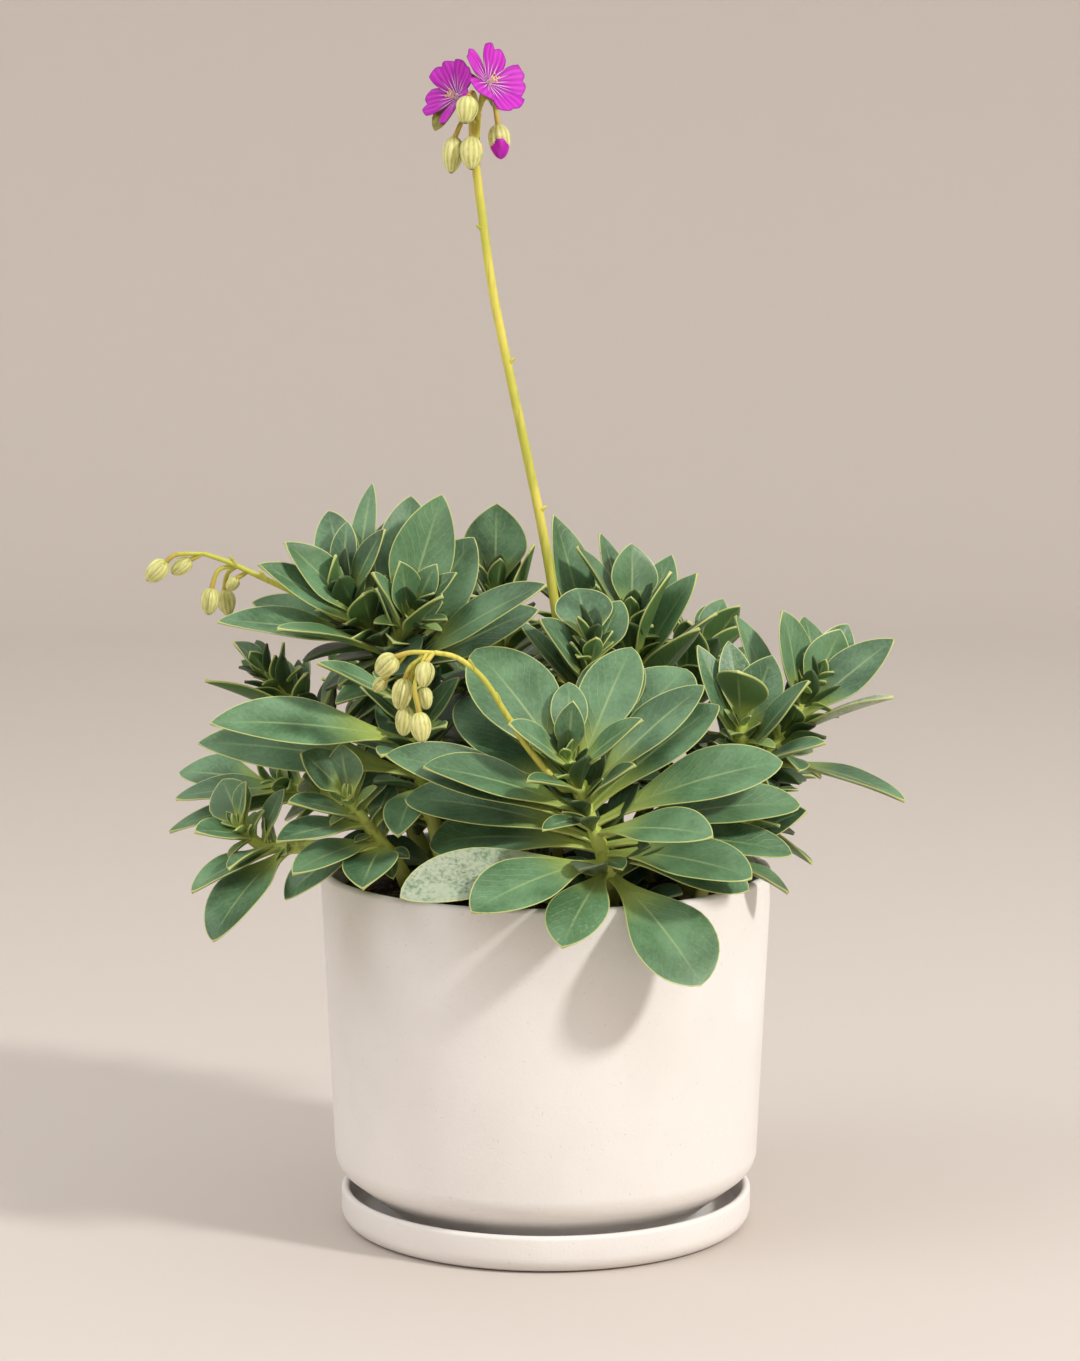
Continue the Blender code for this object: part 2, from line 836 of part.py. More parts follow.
class Space:
    """What is already placed, so that the next blade can be bent clear of it."""

    def __init__(self):
        self.taken = []

    def add(self, node, bm, outer=None):
        corners = [v.co for v in bm.verts]
        low = Vector([min(c[i] for c in corners) for i in range(3)])
        high = Vector([max(c[i] for c in corners) for i in range(3)])
        ends = BVHTree.FromBMesh(outer) if outer else None
        self.taken.append((node, low, high, BVHTree.FromBMesh(bm), ends))

    def crosses(self, node, bm, outer):
        """True if the blade meets another node, or its outer part meets a leaf of its own."""
        corners = [v.co for v in bm.verts]
        low = Vector([min(c[i] for c in corners) for i in range(3)])
        high = Vector([max(c[i] for c in corners) for i in range(3)])
        tree = BVHTree.FromBMesh(bm)
        outer_tree = BVHTree.FromBMesh(outer)
        for other, other_low, other_high, whole, ends in self.taken:
            if any(low[i] > other_high[i] or high[i] < other_low[i] for i in range(3)):
                continue
            if other != node and tree.overlap(whole):
                return True
            if other == node and ends and outer_tree.overlap(ends):
                return True
        return False


def bends():
    """Small turns and lifts to try, the gentlest first."""
    steps = [(0, 0)]
    for size in (5, 10, 16, 23):
        steps += [(size, 0), (-size, 0), (0, size), (0, -size)]
        steps += [(size, size), (-size, size), (size, -size), (-size, -size)]
    return steps


def place_blade(space, node, root, tip, width, facing, blunt):
    """What the blade is made from, once it is turned and lifted clear, or None."""
    chord = tip - root
    side = chord.normalized().cross(facing).normalized()
    up = side.cross(chord.normalized())
    for shrink in (1.0, SHRINK):
        for turn, lift in bends():
            spin = Matrix.Rotation(math.radians(turn), 3, up) @ Matrix.Rotation(math.radians(lift), 3, side)
            end = root + spin @ chord * shrink
            spread = width * shrink
            test = blade_mesh(root, end, spread, facing, blunt, LEAF_CLEAR * MM)
            outer = blade_mesh(root, end, spread, facing, blunt, 0.0, 1)
            if not space.crosses(node, test, outer):
                space.add(node, test, outer)
                test.free()
                outer.free()
                return root, end, spread, facing, blunt
            test.free()
            outer.free()
    return None


def crown_roots(path, crown, count):
    """Places along the top of a stem where its leaves grow, from low to high."""
    share = min(0.9, crown * MM / path_length(path))
    places = []
    for i in range(count):
        s = 1 - share + (share - 0.01) * i / max(1, count - 1)
        places.append(along(path, s))
    return places


def signature_blades(space, node, axis, path):
    facing = Vector(axis["facing"]).normalized()
    placed = []
    roots = crown_roots(path, axis["crown"], len(axis["leaves"]))
    for (root, ahead), (x, y, z, width) in zip(roots, axis["leaves"]):
        tip = metres((x, y, z))
        found = place_blade(space, node, root, tip, width * MM, facing, axis.get("blunt", False))
        if found:
            placed.append(found)
    return placed


def fill_blades(space, node, axis, path, first_turn):
    """Leaves by the golden angle: lower ones long and spreading, upper ones short and upright."""
    facing = Vector(axis["facing"]).normalized()
    placed = []
    count = axis["fill"]
    for i, (root, ahead) in enumerate(crown_roots(path, axis["crown"] + FILL_LOWER, count)):
        share = i / max(1, count - 1)
        turn = first_turn + i * GOLDEN_ANGLE
        lead = (ahead + facing).normalized()
        sideways = lead.orthogonal().normalized()
        out = Matrix.Rotation(turn, 3, lead) @ sideways
        rise = math.radians(FILL_RISE[0] + FILL_RISE[1] * share)
        length = axis["fill_length"] * MM * (1.0 - FILL_SHORTER * share)
        tip = root + (out * math.cos(rise) + lead * math.sin(rise)) * length
        found = place_blade(space, node, root, tip, length * FILL_WIDTH, lead, axis.get("blunt", False))
        if found:
            placed.append(found)
    return placed


# Joining a node's pieces


def keep_largest(mesh):
    """Drops sealed hollows and loose scraps that a union leaves."""
    bm = bmesh.new()
    bm.from_mesh(mesh)
    bmesh.ops.triangulate(bm, faces=bm.faces)
    bm.faces.ensure_lookup_table()
    seen, groups = set(), []
    for face in bm.faces:
        if face.index in seen:
            continue
        group, queue = [], [face]
        seen.add(face.index)
        while queue:
            current = queue.pop()
            group.append(current)
            for edge in current.edges:
                for near in edge.link_faces:
                    if near.index not in seen:
                        seen.add(near.index)
                        queue.append(near)
        groups.append(group)
    groups.sort(key=len)
    loose = [face for group in groups[:-1] for face in group]
    bmesh.ops.delete(bm, geom=loose, context="FACES")
    bm.to_mesh(mesh)
    bm.free()


def fuse(base, repeats):
    """Joins a collection's pieces to the base in one Boolean union, and removes them.

    The decimation that follows only takes out the slivers that the joints leave.
    """
    join = base.modifiers.new("join", "BOOLEAN")
    join.operation = "UNION"
    join.operand_type = "COLLECTION"
    join.collection = repeats
    join.solver = "MANIFOLD"
    base.data = baked_mesh(base)
    base.modifiers.clear()
    keep_largest(base.data)
    thin = base.modifiers.new("thin out", "DECIMATE")
    thin.ratio = FUSE_KEEP
    base.data = baked_mesh(base)
    base.modifiers.clear()
    for obj in list(repeats.objects):
        bpy.data.objects.remove(obj, do_unlink=True)
    bpy.data.collections.remove(repeats)


def set_finish(obj, finish):
    obj.data.materials.clear()
    obj.data.materials.append(finish)
    smooth_sides(obj.data, 40)


def make_stem(spec, space, collection, cutters):
    """The bare axes of one leafy stem, before its leaves join them."""
    name = spec["name"]
    foot = spec["foot"]
    thick, thin = spec["radius"]
    repeats = new_collection(name + "_repeats")
    paths = []
    for i, axis in enumerate(spec["axes"]):
        points = [metres(p) for p in axis["route"]]
        if i == 0:
            path = rooted_path(foot, points, STEM_SPACING)
        else:
            path = smooth_path(points, STEM_SPACING * MM)
        paths.append(path)
        start = thick if i == 0 else (thick + thin) / 2
        home = collection if i == 0 else repeats
        piece = tube(name if i == 0 else f"{name}_branch_{i}", path, (start, thin), home)
        reserve(space, piece, name)
        if i == 0:
            base = piece
    soil_hole(name + "_hole", foot, thick, cutters)
    return {"spec": spec, "base": base, "paths": paths, "repeats": repeats, "blades": []}


def add_blades(stem):
    for i, blade in enumerate(stem["blades"]):
        mesh_object(f"{stem['spec']['name']}_leaf_{i}", blade_mesh(*blade), stem["repeats"])


def rear_specs():
    """The stems behind, from their directions."""
    specs = []
    for i, (heading, height, reach) in enumerate(REAR_STEMS):
        a = math.radians(heading)
        out = Vector((math.cos(a), math.sin(a), 0.0))
        foot = out * REAR_FOOT_REACH
        low = out * REAR_FOOT_REACH + Vector((0, 0, REAR_KNEE_Z))
        crown = out * reach + Vector((0, 0, height))
        middle = low.lerp(crown, REAR_KNEE)
        near = out * (REAR_FOOT_REACH + REAR_COLLAR[0]) + Vector((0, 0, REAR_COLLAR[1]))
        specs.append(
            {
                "name": f"stem_rear_{i + 1}",
                "foot": (round(foot.x), round(foot.y)),
                "radius": REAR_RADIUS,
                "axes": [
                    {
                        "route": [tuple(near), tuple(middle), tuple(crown)],
                        "facing": (out.x * REAR_LEAN, out.y * REAR_LEAN, 0.85),
                        "crown": REAR_CROWN,
                        "blunt": i % 2 == 1,
                        "leaves": [],
                        "fill": REAR_FILL,
                        "fill_length": REAR_LEAF,
                    }
                ],
            }
        )
    return specs


def reserve(space, obj, node=None):
    """Marks an object's solid as taken, by its own node or the one that it is part of."""
    bm = bmesh.new()
    bm.from_mesh(obj.data)
    space.add(node or obj.name, bm)
    bm.free()


# Buds and blooms


def bud(name, centre, length, width, hang, home, cut_share=None, keep_tip=False):
    """A ribbed egg-shaped bud, its point along hang. A cut leaves its lower or its tip part."""
    bm = bmesh.new()
    bmesh.ops.create_uvsphere(bm, u_segments=BUD_RIBS, v_segments=5, radius=1.0)
    for v in bm.verts:
        x, y, z = v.co
        angle = math.atan2(y, x)
        rib = 1 + BUD_RIB_DEPTH * math.cos(angle * BUD_RIBS / 2)
        fat = (1 - BUD_TAPER * z) * rib
        v.co = Vector((x * fat * width / 2, y * fat * width / 2, z * length / 2)) * MM
    if cut_share is not None:
        bmesh.ops.bisect_plane(
            bm,
            geom=bm.verts[:] + bm.edges[:] + bm.faces[:],
            plane_co=(0, 0, (cut_share - 0.5) * length * MM),
            plane_no=(0, 0, 1),
            clear_inner=keep_tip,
            clear_outer=not keep_tip,
        )
        bmesh.ops.holes_fill(bm, edges=[e for e in bm.edges if e.is_boundary], sides=0)
    turn = Vector(hang).normalized().to_track_quat("Z", "Y").to_matrix().to_4x4()
    bm.transform(Matrix.Translation(metres(centre)) @ turn)
    face_outwards(bm)
    return mesh_object(name, bm, home)


def stalklet(name, route, centre, length, home):
    """The curved stalklet of a bud. The last point of its route gives the way the bud hangs."""
    hang = (Vector(centre) - Vector(route[-1])).normalized()
    top = Vector(centre) - hang * length * BUD_SEAT
    points = [metres(p) for p in route[:-1]] + [metres(top)]
    path = smooth_path(points, STALKLET_SPACING * MM)
    tube(name, path, (BUD_STALK_R, BUD_STALK_R * 1.3), home, 0)
    return hang


def hung_bud(name, spec, home):
    """A bud on its curved stalklet."""
    route, centre, length, width = spec
    hang = stalklet(name + "_stalklet", route, centre, length, home)
    bud(name, centre, length, width, hang, home)


def bract(name, root, ahead, length, home):
    """A small pointed scale where a stalk has a joint."""
    tip = root + ahead * length * MM
    mesh_object(name, blade_mesh(root, tip, BRACT_WIDTH * MM, Vector((0, 0, 1))), home)


def bloom_frame(facing, turn):
    """Axes of a bloom: the third is the way it faces."""
    ahead = Vector(facing).normalized()
    across = Vector((0, 0, 1)).cross(ahead).normalized()
    above = ahead.cross(across)
    spin = Matrix.Rotation(math.radians(turn), 3, ahead)
    return spin @ across, spin @ above, ahead


def petal(name, centre, axes, angle, length, home):
    """A notched, cupped petal as a shaped sheet with thickness."""
    across, above, ahead = axes
    out = across * math.cos(angle) + above * math.sin(angle)
    side = ahead.cross(out)
    bm = bmesh.new()
    bmesh.ops.create_grid(bm, x_segments=4, y_segments=3, size=1.0)
    for v in bm.verts:
        u, t = v.co.x, (v.co.y + 1) / 2
        swell = math.sin(math.pi / 2 * min(1.0, t * PETAL_FULL)) ** 1.5
        half = length * (PETAL_CLAW + PETAL_SWELL * swell)
        notch = PETAL_NOTCH * math.exp(-((u / PETAL_NOTCH_WIDTH) ** 2))
        reach = length * t * (1 - PETAL_ROUND * u * u - notch)
        curl = length * (PETAL_TROUGH * u * u * t - PETAL_DROOP * t * t)
        lift = reach * math.sin(PETAL_CUP) + curl
        run = PETAL_START + reach * math.cos(PETAL_CUP)
        place = out * run + side * (u * half) + ahead * lift
        v.co = metres(centre) + place * MM
    bmesh.ops.recalc_face_normals(bm, faces=bm.faces)
    obj = mesh_object(name, bm, home)
    wall = obj.modifiers.new("thickness", "SOLIDIFY")
    wall.thickness = PETAL_THICK * MM
    wall.offset = 0.0
    obj.data = baked_mesh(obj)
    obj.modifiers.clear()


def disc(name, centre, ahead, radius, depth, home, top_radius=None):
    """A short round hub, centred on a point of the bloom's axis."""
    bm = bmesh.new()
    top = radius if top_radius is None else top_radius
    bmesh.ops.create_cone(
        bm, cap_ends=True, segments=8, radius1=radius * MM, radius2=top * MM, depth=depth * MM
    )
    turn = ahead.to_track_quat("Z", "Y").to_matrix().to_4x4()
    bm.transform(Matrix.Translation(metres(centre)) @ turn)
    return mesh_object(name, bm, home)


def make_bloom(spec, collection, petal_finish, stamen_finish):
    name, centre = spec["name"], spec["centre"]
    axes = bloom_frame(spec["facing"], spec["turn"])
    ahead = axes[2]
    petals = disc(name + "_petals", centre, ahead, PETAL_HUB_R, PETAL_HUB_DEPTH, collection)
    repeats = new_collection(name + "_repeats")
    for i in range(PETALS):
        petal(f"{name}_petal_{i}", centre, axes, 2 * math.pi * i / PETALS, spec["petal"], repeats)
    fuse(petals, repeats)
    set_finish(petals, petal_finish)
    seat = Vector(centre) + ahead * (PETAL_HUB_DEPTH / 2 + GAP)
    radius, depth = STAMEN_HUB
    stamens = disc(name + "_stamens", seat + ahead * depth / 2, ahead, radius, depth, collection)
    repeats = new_collection(name + "_stamen_repeats")
    for i in range(STAMENS):
        angle = 2 * math.pi * i / STAMENS
        out = axes[0] * math.cos(angle) + axes[1] * math.sin(angle)
        line = [metres(seat + ahead * run + out * way) for run, way in zip(STAMEN_RUN, STAMEN_SPREAD)]
        tube(f"{name}_stamen_{i}", line, STAMEN_RADIUS, repeats, 0)
    fuse(stamens, repeats)
    set_finish(stamens, stamen_finish)
    return petals, stamens


def make_bloom_back(spec, home):
    """The green behind a bloom: its stalklet, the seat of its petals and two sepals."""
    name = spec["name"]
    ahead = Vector(spec["facing"]).normalized()
    seat = Vector(spec["centre"]) - ahead * (PETAL_HUB_DEPTH / 2 + GAP)
    points = [metres(p) for p in spec["route"]] + [metres(seat - ahead * RECEPTACLE_JOIN)]
    path = smooth_path(points, STALKLET_SPACING * MM)
    tube(name + "_stalklet", path, (BUD_STALK_R, BUD_STALK_R * 1.4), home, 0)
    narrow, broad, depth = RECEPTACLE
    disc(name + "_receptacle", seat - ahead * depth / 2, ahead, narrow, depth, home, broad)
    for k, tip in enumerate(spec["sepals"]):
        blade = blade_mesh(metres(seat - ahead * SEPAL_SEAT), metres(tip), SEPAL_WIDTH * MM, ahead)
        mesh_object(f"{name}_sepal_{k}", blade, home)


def make_tall_stalk(collection, cutters, finish, petal_finish):
    """The tall stalk with its buds and the green behind its blooms, and the opening bud's petals."""
    path = rooted_path(TALL_FOOT, [metres(p) for p in TALL_STALK], STALK_SPACING)
    stalk = tube("stalk_tall", path, TALL_RADIUS, collection)
    soil_hole("stalk_tall_hole", TALL_FOOT, TALL_RADIUS[0], cutters)
    repeats = new_collection("stalk_tall_repeats")
    for i, spec in enumerate(TALL_BUDS):
        hung_bud(f"tall_bud_{i}", spec, repeats)
    route, centre, length, width = OPENING_BUD
    hang = stalklet("opening_stalklet", route, centre, length, repeats)
    bud("opening_bud", centre, length, width, hang, repeats, 0.5)
    tip_share = 0.5 + GAP / length
    petals = bud("opening_bud_petals", centre, length, width * 0.94, hang, collection, tip_share, True)
    set_finish(petals, petal_finish)
    for i, (share, way) in enumerate(TALL_BRACTS):
        root, ahead = along(path, share)
        bract(f"tall_bract_{i}", root, (ahead + Vector((way, -0.4, 0.1))).normalized(), BRACT_LENGTH, repeats)
    for spec in BLOOMS:
        make_bloom_back(spec, repeats)
    fuse(stalk, repeats)
    set_finish(stalk, finish)
    return stalk, petals


def make_side_stalk(name, stem, seat, route, buds, collection, finish):
    """A nodding stalk that leaves the side of a stem, with its buds."""
    axis, share, out = seat
    root, ahead = along(stem["paths"][axis], share)
    out = Vector(out)
    out = (out - out.dot(ahead) * ahead).normalized()
    start = root + out * (stem["spec"]["radius"][1] + GAP) * MM
    points = [start, start + out * SEAT_RUN * MM] + [metres(p) for p in route]
    path = smooth_path(points, SIDE_STALK_SPACING * MM)
    stalk = tube(name, path, STALK_RADIUS, collection)
    repeats = new_collection(name + "_repeats")
    for i, spec in enumerate(buds):
        hung_bud(f"{name}_bud_{i}", spec, repeats)
    root, ahead = along(path, 0.6)
    bract(name + "_bract", root, (ahead + Vector((0, 0, 1.2))).normalized(), BRACT_LENGTH, repeats)
    fuse(stalk, repeats)
    set_finish(stalk, finish)
    return stalk


def main():
    clear_scene()
    plant = new_collection("potted_rock_purslane")
    cutters = new_collection("cutters")
    leaf = material("leaf", GREEN, 0.5)
    stalk_green = material("stalk", STALK_GREEN, 0.45)
    magenta = material("petal", MAGENTA, 0.5)
    cream = material("stamen", CREAM, 0.6)
    ceramic = material("ceramic", CERAMIC, 0.55)
    brown = material("soil", SOIL_BROWN, 0.95)

    space = Space()
    reserve(space, make_pot(plant, ceramic))
    make_saucer(plant, ceramic)
    stems = [make_stem(spec, space, plant, cutters) for spec in STEMS + rear_specs()]
    by_name = {stem["spec"]["name"]: stem for stem in stems}

    pieces = list(make_tall_stalk(plant, cutters, stalk_green, magenta))
    for spec in BLOOMS:
        pieces += make_bloom(spec, plant, magenta, cream)
    for name, stem, seat, route, buds in (
        ("stalk_left", "stem_left_top", LEFT_SEAT, LEFT_STALK, LEFT_BUDS),
        ("stalk_front", "stem_front", FRONT_SEAT, FRONT_STALK, FRONT_BUDS),
    ):
        pieces.append(make_side_stalk(name, by_name[stem], seat, route, buds, plant, stalk_green))
    pieces.append(make_soil(plant, cutters, brown))
    for piece in pieces:
        reserve(space, piece)

    for stem in stems:
        for axis, path in zip(stem["spec"]["axes"], stem["paths"]):
            stem["blades"] += signature_blades(space, stem["spec"]["name"], axis, path)
    for number, stem in enumerate(stems):
        for axis, path in zip(stem["spec"]["axes"], stem["paths"]):
            stem["blades"] += fill_blades(space, stem["spec"]["name"], axis, path, number * 1.3)
    for stem in stems:
        add_blades(stem)
        fuse(stem["base"], stem["repeats"])
        set_finish(stem["base"], leaf)
    print("leaves:", sum(len(stem["blades"]) for stem in stems))


main()
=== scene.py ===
# The looks of a potted rock purslane: leafy succulent stems, one tall flower stalk
# and two nodding bud stalks, in a round ceramic pot that stands in its saucer.
# Lengths are millimetres until a mesh is made, and the front is -Y.

import math
import random
from functools import partial

import bpy
import numpy as np
from mathutils import Matrix, Vector, noise
from mathutils.bvhtree import BVHTree


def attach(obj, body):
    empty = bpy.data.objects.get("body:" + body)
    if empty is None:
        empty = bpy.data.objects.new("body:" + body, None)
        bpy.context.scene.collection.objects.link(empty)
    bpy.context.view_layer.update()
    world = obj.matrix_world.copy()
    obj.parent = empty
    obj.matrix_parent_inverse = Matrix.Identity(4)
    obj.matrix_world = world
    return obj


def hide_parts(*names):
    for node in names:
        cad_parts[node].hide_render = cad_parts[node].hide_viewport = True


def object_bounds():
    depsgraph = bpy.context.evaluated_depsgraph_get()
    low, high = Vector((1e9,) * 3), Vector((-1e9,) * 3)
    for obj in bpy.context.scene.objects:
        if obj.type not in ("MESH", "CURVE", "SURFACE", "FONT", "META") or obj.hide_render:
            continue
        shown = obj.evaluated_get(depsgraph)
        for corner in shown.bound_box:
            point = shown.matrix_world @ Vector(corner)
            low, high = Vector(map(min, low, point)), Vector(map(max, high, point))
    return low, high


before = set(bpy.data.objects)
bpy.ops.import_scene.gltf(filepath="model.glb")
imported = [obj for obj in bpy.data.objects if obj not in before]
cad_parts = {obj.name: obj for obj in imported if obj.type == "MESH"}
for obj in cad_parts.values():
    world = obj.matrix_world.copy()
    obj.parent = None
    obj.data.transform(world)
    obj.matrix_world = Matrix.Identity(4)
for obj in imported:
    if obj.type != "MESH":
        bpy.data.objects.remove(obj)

cadBox = [list(corner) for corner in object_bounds()]
mm = 0.001
body = "root"


def vec(point):
    return Vector(point)


def clearSelection():
    if bpy.context.object and bpy.context.object.mode != "OBJECT":
        bpy.ops.object.mode_set(mode="OBJECT")
    bpy.ops.object.select_all(action="DESELECT")


def editAll():
    # edit mode on the active object, with everything selected
    bpy.ops.object.mode_set(mode="EDIT")
    bpy.ops.mesh.select_all(action="SELECT")


def closeMesh():
    # on the active object, merges what meets and turns every face outwards
    editAll()
    bpy.ops.mesh.remove_doubles(threshold=1e-6)
    bpy.ops.mesh.normals_make_consistent(inside=False)
    bpy.ops.object.mode_set(mode="OBJECT")


def selectOnly(*objects):
    clearSelection()
    for obj in objects:
        obj.select_set(True)
    bpy.context.view_layer.objects.active = objects[0]


def applyModifier(obj, kind, **settings):
    selectOnly(obj)
    bpy.ops.object.modifier_add(type=kind)
    added = obj.modifiers[-1]
    for key, value in settings.items():
        setattr(added, key, value)
    bpy.ops.object.modifier_apply(modifier=added.name)


def joinPieces(name, objects):
    selectOnly(*objects)
    if len(objects) > 1:
        bpy.ops.object.join()
    piece = bpy.context.object
    piece.name = name
    piece.data.name = name
    keepInside(piece.data)
    return piece


def readPlaces(mesh):
    flat = np.empty(len(mesh.vertices) * 3, dtype=np.float32)
    mesh.vertices.foreach_get("co", flat)
    return flat.reshape(-1, 3)


def writePlaces(mesh, places):
    mesh.vertices.foreach_set("co", places.astype(np.float32).ravel())


def writeAttribute(mesh, name, *columns):
    # three numbers for each vertex, where a lone number stands for all the vertices
    count = len(mesh.vertices)
    values = np.column_stack([np.broadcast_to(column, count) for column in columns])
    added = mesh.attributes.new(name, "FLOAT_VECTOR", "POINT")
    added.data.foreach_set("vector", np.ascontiguousarray(values, dtype=np.float32).ravel())


def keepInside(mesh):
    # no finer surface reaches past the box of the frame's solids
    writePlaces(mesh, np.clip(readPlaces(mesh), *np.array(cadBox)))


def addObject(name, data, finish=None):
    made = bpy.data.objects.new(name, data)
    bpy.context.scene.collection.objects.link(made)
    if finish:
        data.materials.clear()
        data.materials.append(finish)
    return made


def finishPiece(piece, node, angle=None):
    # the piece stands for its CAD node, and the node is hidden
    selectOnly(piece)
    if angle is not None:
        bpy.ops.object.shade_smooth_by_angle(angle=math.radians(angle))
    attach(piece, body)
    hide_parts(node)
    return piece


# Camera, floor and light

studio = {
    "cameraPlace": (-3.27, -2209.3, 624.8),
    "cameraTilt": 8.25,             # degrees below level
    "lens": 107.15,
    "sensor": 36.0,
    "floorReach": 2500.0,
    "sweepRadius": 1100.0,          # the floor curves up into the backdrop
    "wallTop": 3600.0,
    "floorColour": (0.600, 0.545, 0.500),
    "floorCloud": (0.600, 0.550, 0.500),
    "aim": (0.0, 0.0, 0.3),         # what the lights point at, in metres as their distances are
    "skyStrength": 1.10,
    "skyColour": (1.0, 0.992, 0.985),
}
lights = {
    # turn is in degrees to the right of the camera, and height in degrees above level
    "key": {
        "turn": 55.0, "height": 34.0, "distance": 3.2, "size": 0.38, "power": 72.0,
        "colour": (1.0, 0.970, 0.930),
    },
    "fill": {
        "turn": -60.0, "height": 35.0, "distance": 2.0, "size": 1.6, "power": 14.0,
        "colour": (0.950, 0.970, 1.0),
    },
}


def addCamera():
    place = vec(studio["cameraPlace"]) * mm
    tilt = math.radians(90 - studio["cameraTilt"])
    bpy.ops.object.camera_add(location=place, rotation=(tilt, 0, 0))
    camera = bpy.context.object
    camera.data.lens = studio["lens"]
    camera.data.sensor_width = studio["sensor"]
    camera.data.sensor_fit = "AUTO"
    bpy.context.scene.camera = camera


def addLight(name, turn, height, distance, size, power, colour):
    a, h = math.radians(turn), math.radians(height)
    away = Vector((math.sin(a) * math.cos(h), -math.cos(a) * math.cos(h), math.sin(h)))
    bpy.ops.object.light_add(type="AREA", location=vec(studio["aim"]) + away * distance)
    light = bpy.context.object
    light.name = name
    light.rotation_euler = away.to_track_quat("Z", "Y").to_euler()
    light.data.shape = "DISK"
    light.data.size = size
    light.data.energy = power
    light.data.color = colour


def arcPoints(centre, radius, start, end, count):
    # points (radius, height) of an arc, in degrees from the outward direction
    turns = [math.radians(start + (end - start) * i / count) for i in range(count + 1)]
    return [(centre[0] + radius * math.cos(a), centre[1] + radius * math.sin(a)) for a in turns]


def turnedPiece(name, outline, steps, closed=False):
    # an outline of (radius, height) points, extruded point by point and turned about +Z
    clearSelection()
    bpy.ops.mesh.primitive_plane_add(size=0.01)
    piece = bpy.context.object
    piece.name = name
    editAll()
    bpy.ops.mesh.merge(type="CENTER")
    bpy.ops.transform.translate(value=(outline[0][0] * mm, 0, outline[0][1] * mm))
    route = list(outline) + ([outline[0]] if closed else [])
    for before, after in zip(route, route[1:]):
        move = ((after[0] - before[0]) * mm, 0, (after[1] - before[1]) * mm)
        bpy.ops.mesh.extrude_region_move(TRANSFORM_OT_translate={"value": move})
    bpy.ops.mesh.select_all(action="SELECT")
    bpy.ops.mesh.remove_doubles(threshold=1e-6)
    bpy.ops.object.mode_set(mode="OBJECT")
    applyModifier(piece, "SCREW", axis="Z", steps=steps, render_steps=steps,
                  use_merge_vertices=True, merge_threshold=1e-5)
    closeMesh()
    bpy.ops.object.shade_smooth_by_angle(angle=math.radians(40))
    return piece


# Materials

class Wire:
    # a number on its way through a material, with arithmetic that adds Math nodes
    def __init__(self, finish, socket):
        self.finish = finish
        self.socket = socket

    def maths(self, operation, *values):
        return self.finish.node("ShaderNodeMath", {"operation": operation}, values)

    def __add__(self, other):
        return self.maths("ADD", self, other)

    def __radd__(self, other):
        return self.maths("ADD", other, self)

    def __sub__(self, other):
        return self.maths("SUBTRACT", self, other)

    def __rsub__(self, other):
        return self.maths("SUBTRACT", other, self)

    def __mul__(self, other):
        return self.maths("MULTIPLY", self, other)

    def __rmul__(self, other):
        return self.maths("MULTIPLY", other, self)


class Finish:
    # one material: its nodes are added by name, and its shader's fixed values are set at the start
    def __init__(self, name, **fixed):
        self.material = bpy.data.materials.new(name)
        self.material.use_nodes = True
        self.tree = self.material.node_tree
        self.shader = self.tree.nodes["Principled BSDF"]
        for words, value in fixed.items():
            self.feed(self.shader.inputs[words.replace("_", " ")], value)

    def feed(self, socket, value):
        if isinstance(value, Wire):
            self.tree.links.new(value.socket, socket)
        elif isinstance(value, tuple) and socket.type == "RGBA":
            socket.default_value = (*value, 1.0)
        else:
            socket.default_value = value

    def node(self, kind, settings, values, output=0):
        made = self.tree.nodes.new(kind)
        for key, value in settings.items():
            setattr(made, key, value)
        named = values.items() if isinstance(values, dict) else enumerate(values)
        for place, value in named:
            self.feed(made.inputs[place], value)
        return Wire(self, made.outputs[output])

    def mix(self, factor, first, second):
        return self.node("ShaderNodeMix", {"data_type": "RGBA"}, {0: factor, 6: first, 7: second}, 2)

    def ramp(self, value, low, high):
        # 0 below low, 1 above high, smooth between; low may be the larger
        settings = {"interpolation_type": "SMOOTHSTEP"}
        flipped = low > high
        a, b = (high, low) if flipped else (low, high)
        out = self.node("ShaderNodeMapRange", settings, {0: value, 1: a, 2: b, 3: 0.0, 4: 1.0})
        return 1 - out if flipped else out

    def attribute(self, name, part):
        source = self.node("ShaderNodeAttribute", {"attribute_name": name}, {}, 1)
        return self.node("ShaderNodeSeparateXYZ", {}, [source], part)

    def noise(self, scale, detail=3.0, stretch=None):
        where = self.node("ShaderNodeTexCoord", {}, {}, 3)
        if stretch:
            where = self.node("ShaderNodeMapping", {}, {"Vector": where, "Scale": stretch})
        return self.node("ShaderNodeTexNoise", {}, {"Vector": where, "Scale": scale, "Detail": detail})

    def bump(self, height, distance, strength=1.0):
        values = {"Height": height, "Distance": distance * mm, "Strength": strength}
        self.feed(self.shader.inputs["Normal"], self.node("ShaderNodeBump", {}, values))

    def colour(self, value):
        self.feed(self.shader.inputs["Base Color"], value)

    def roughness(self, value):
        self.feed(self.shader.inputs["Roughness"], value)


# Pot and saucer

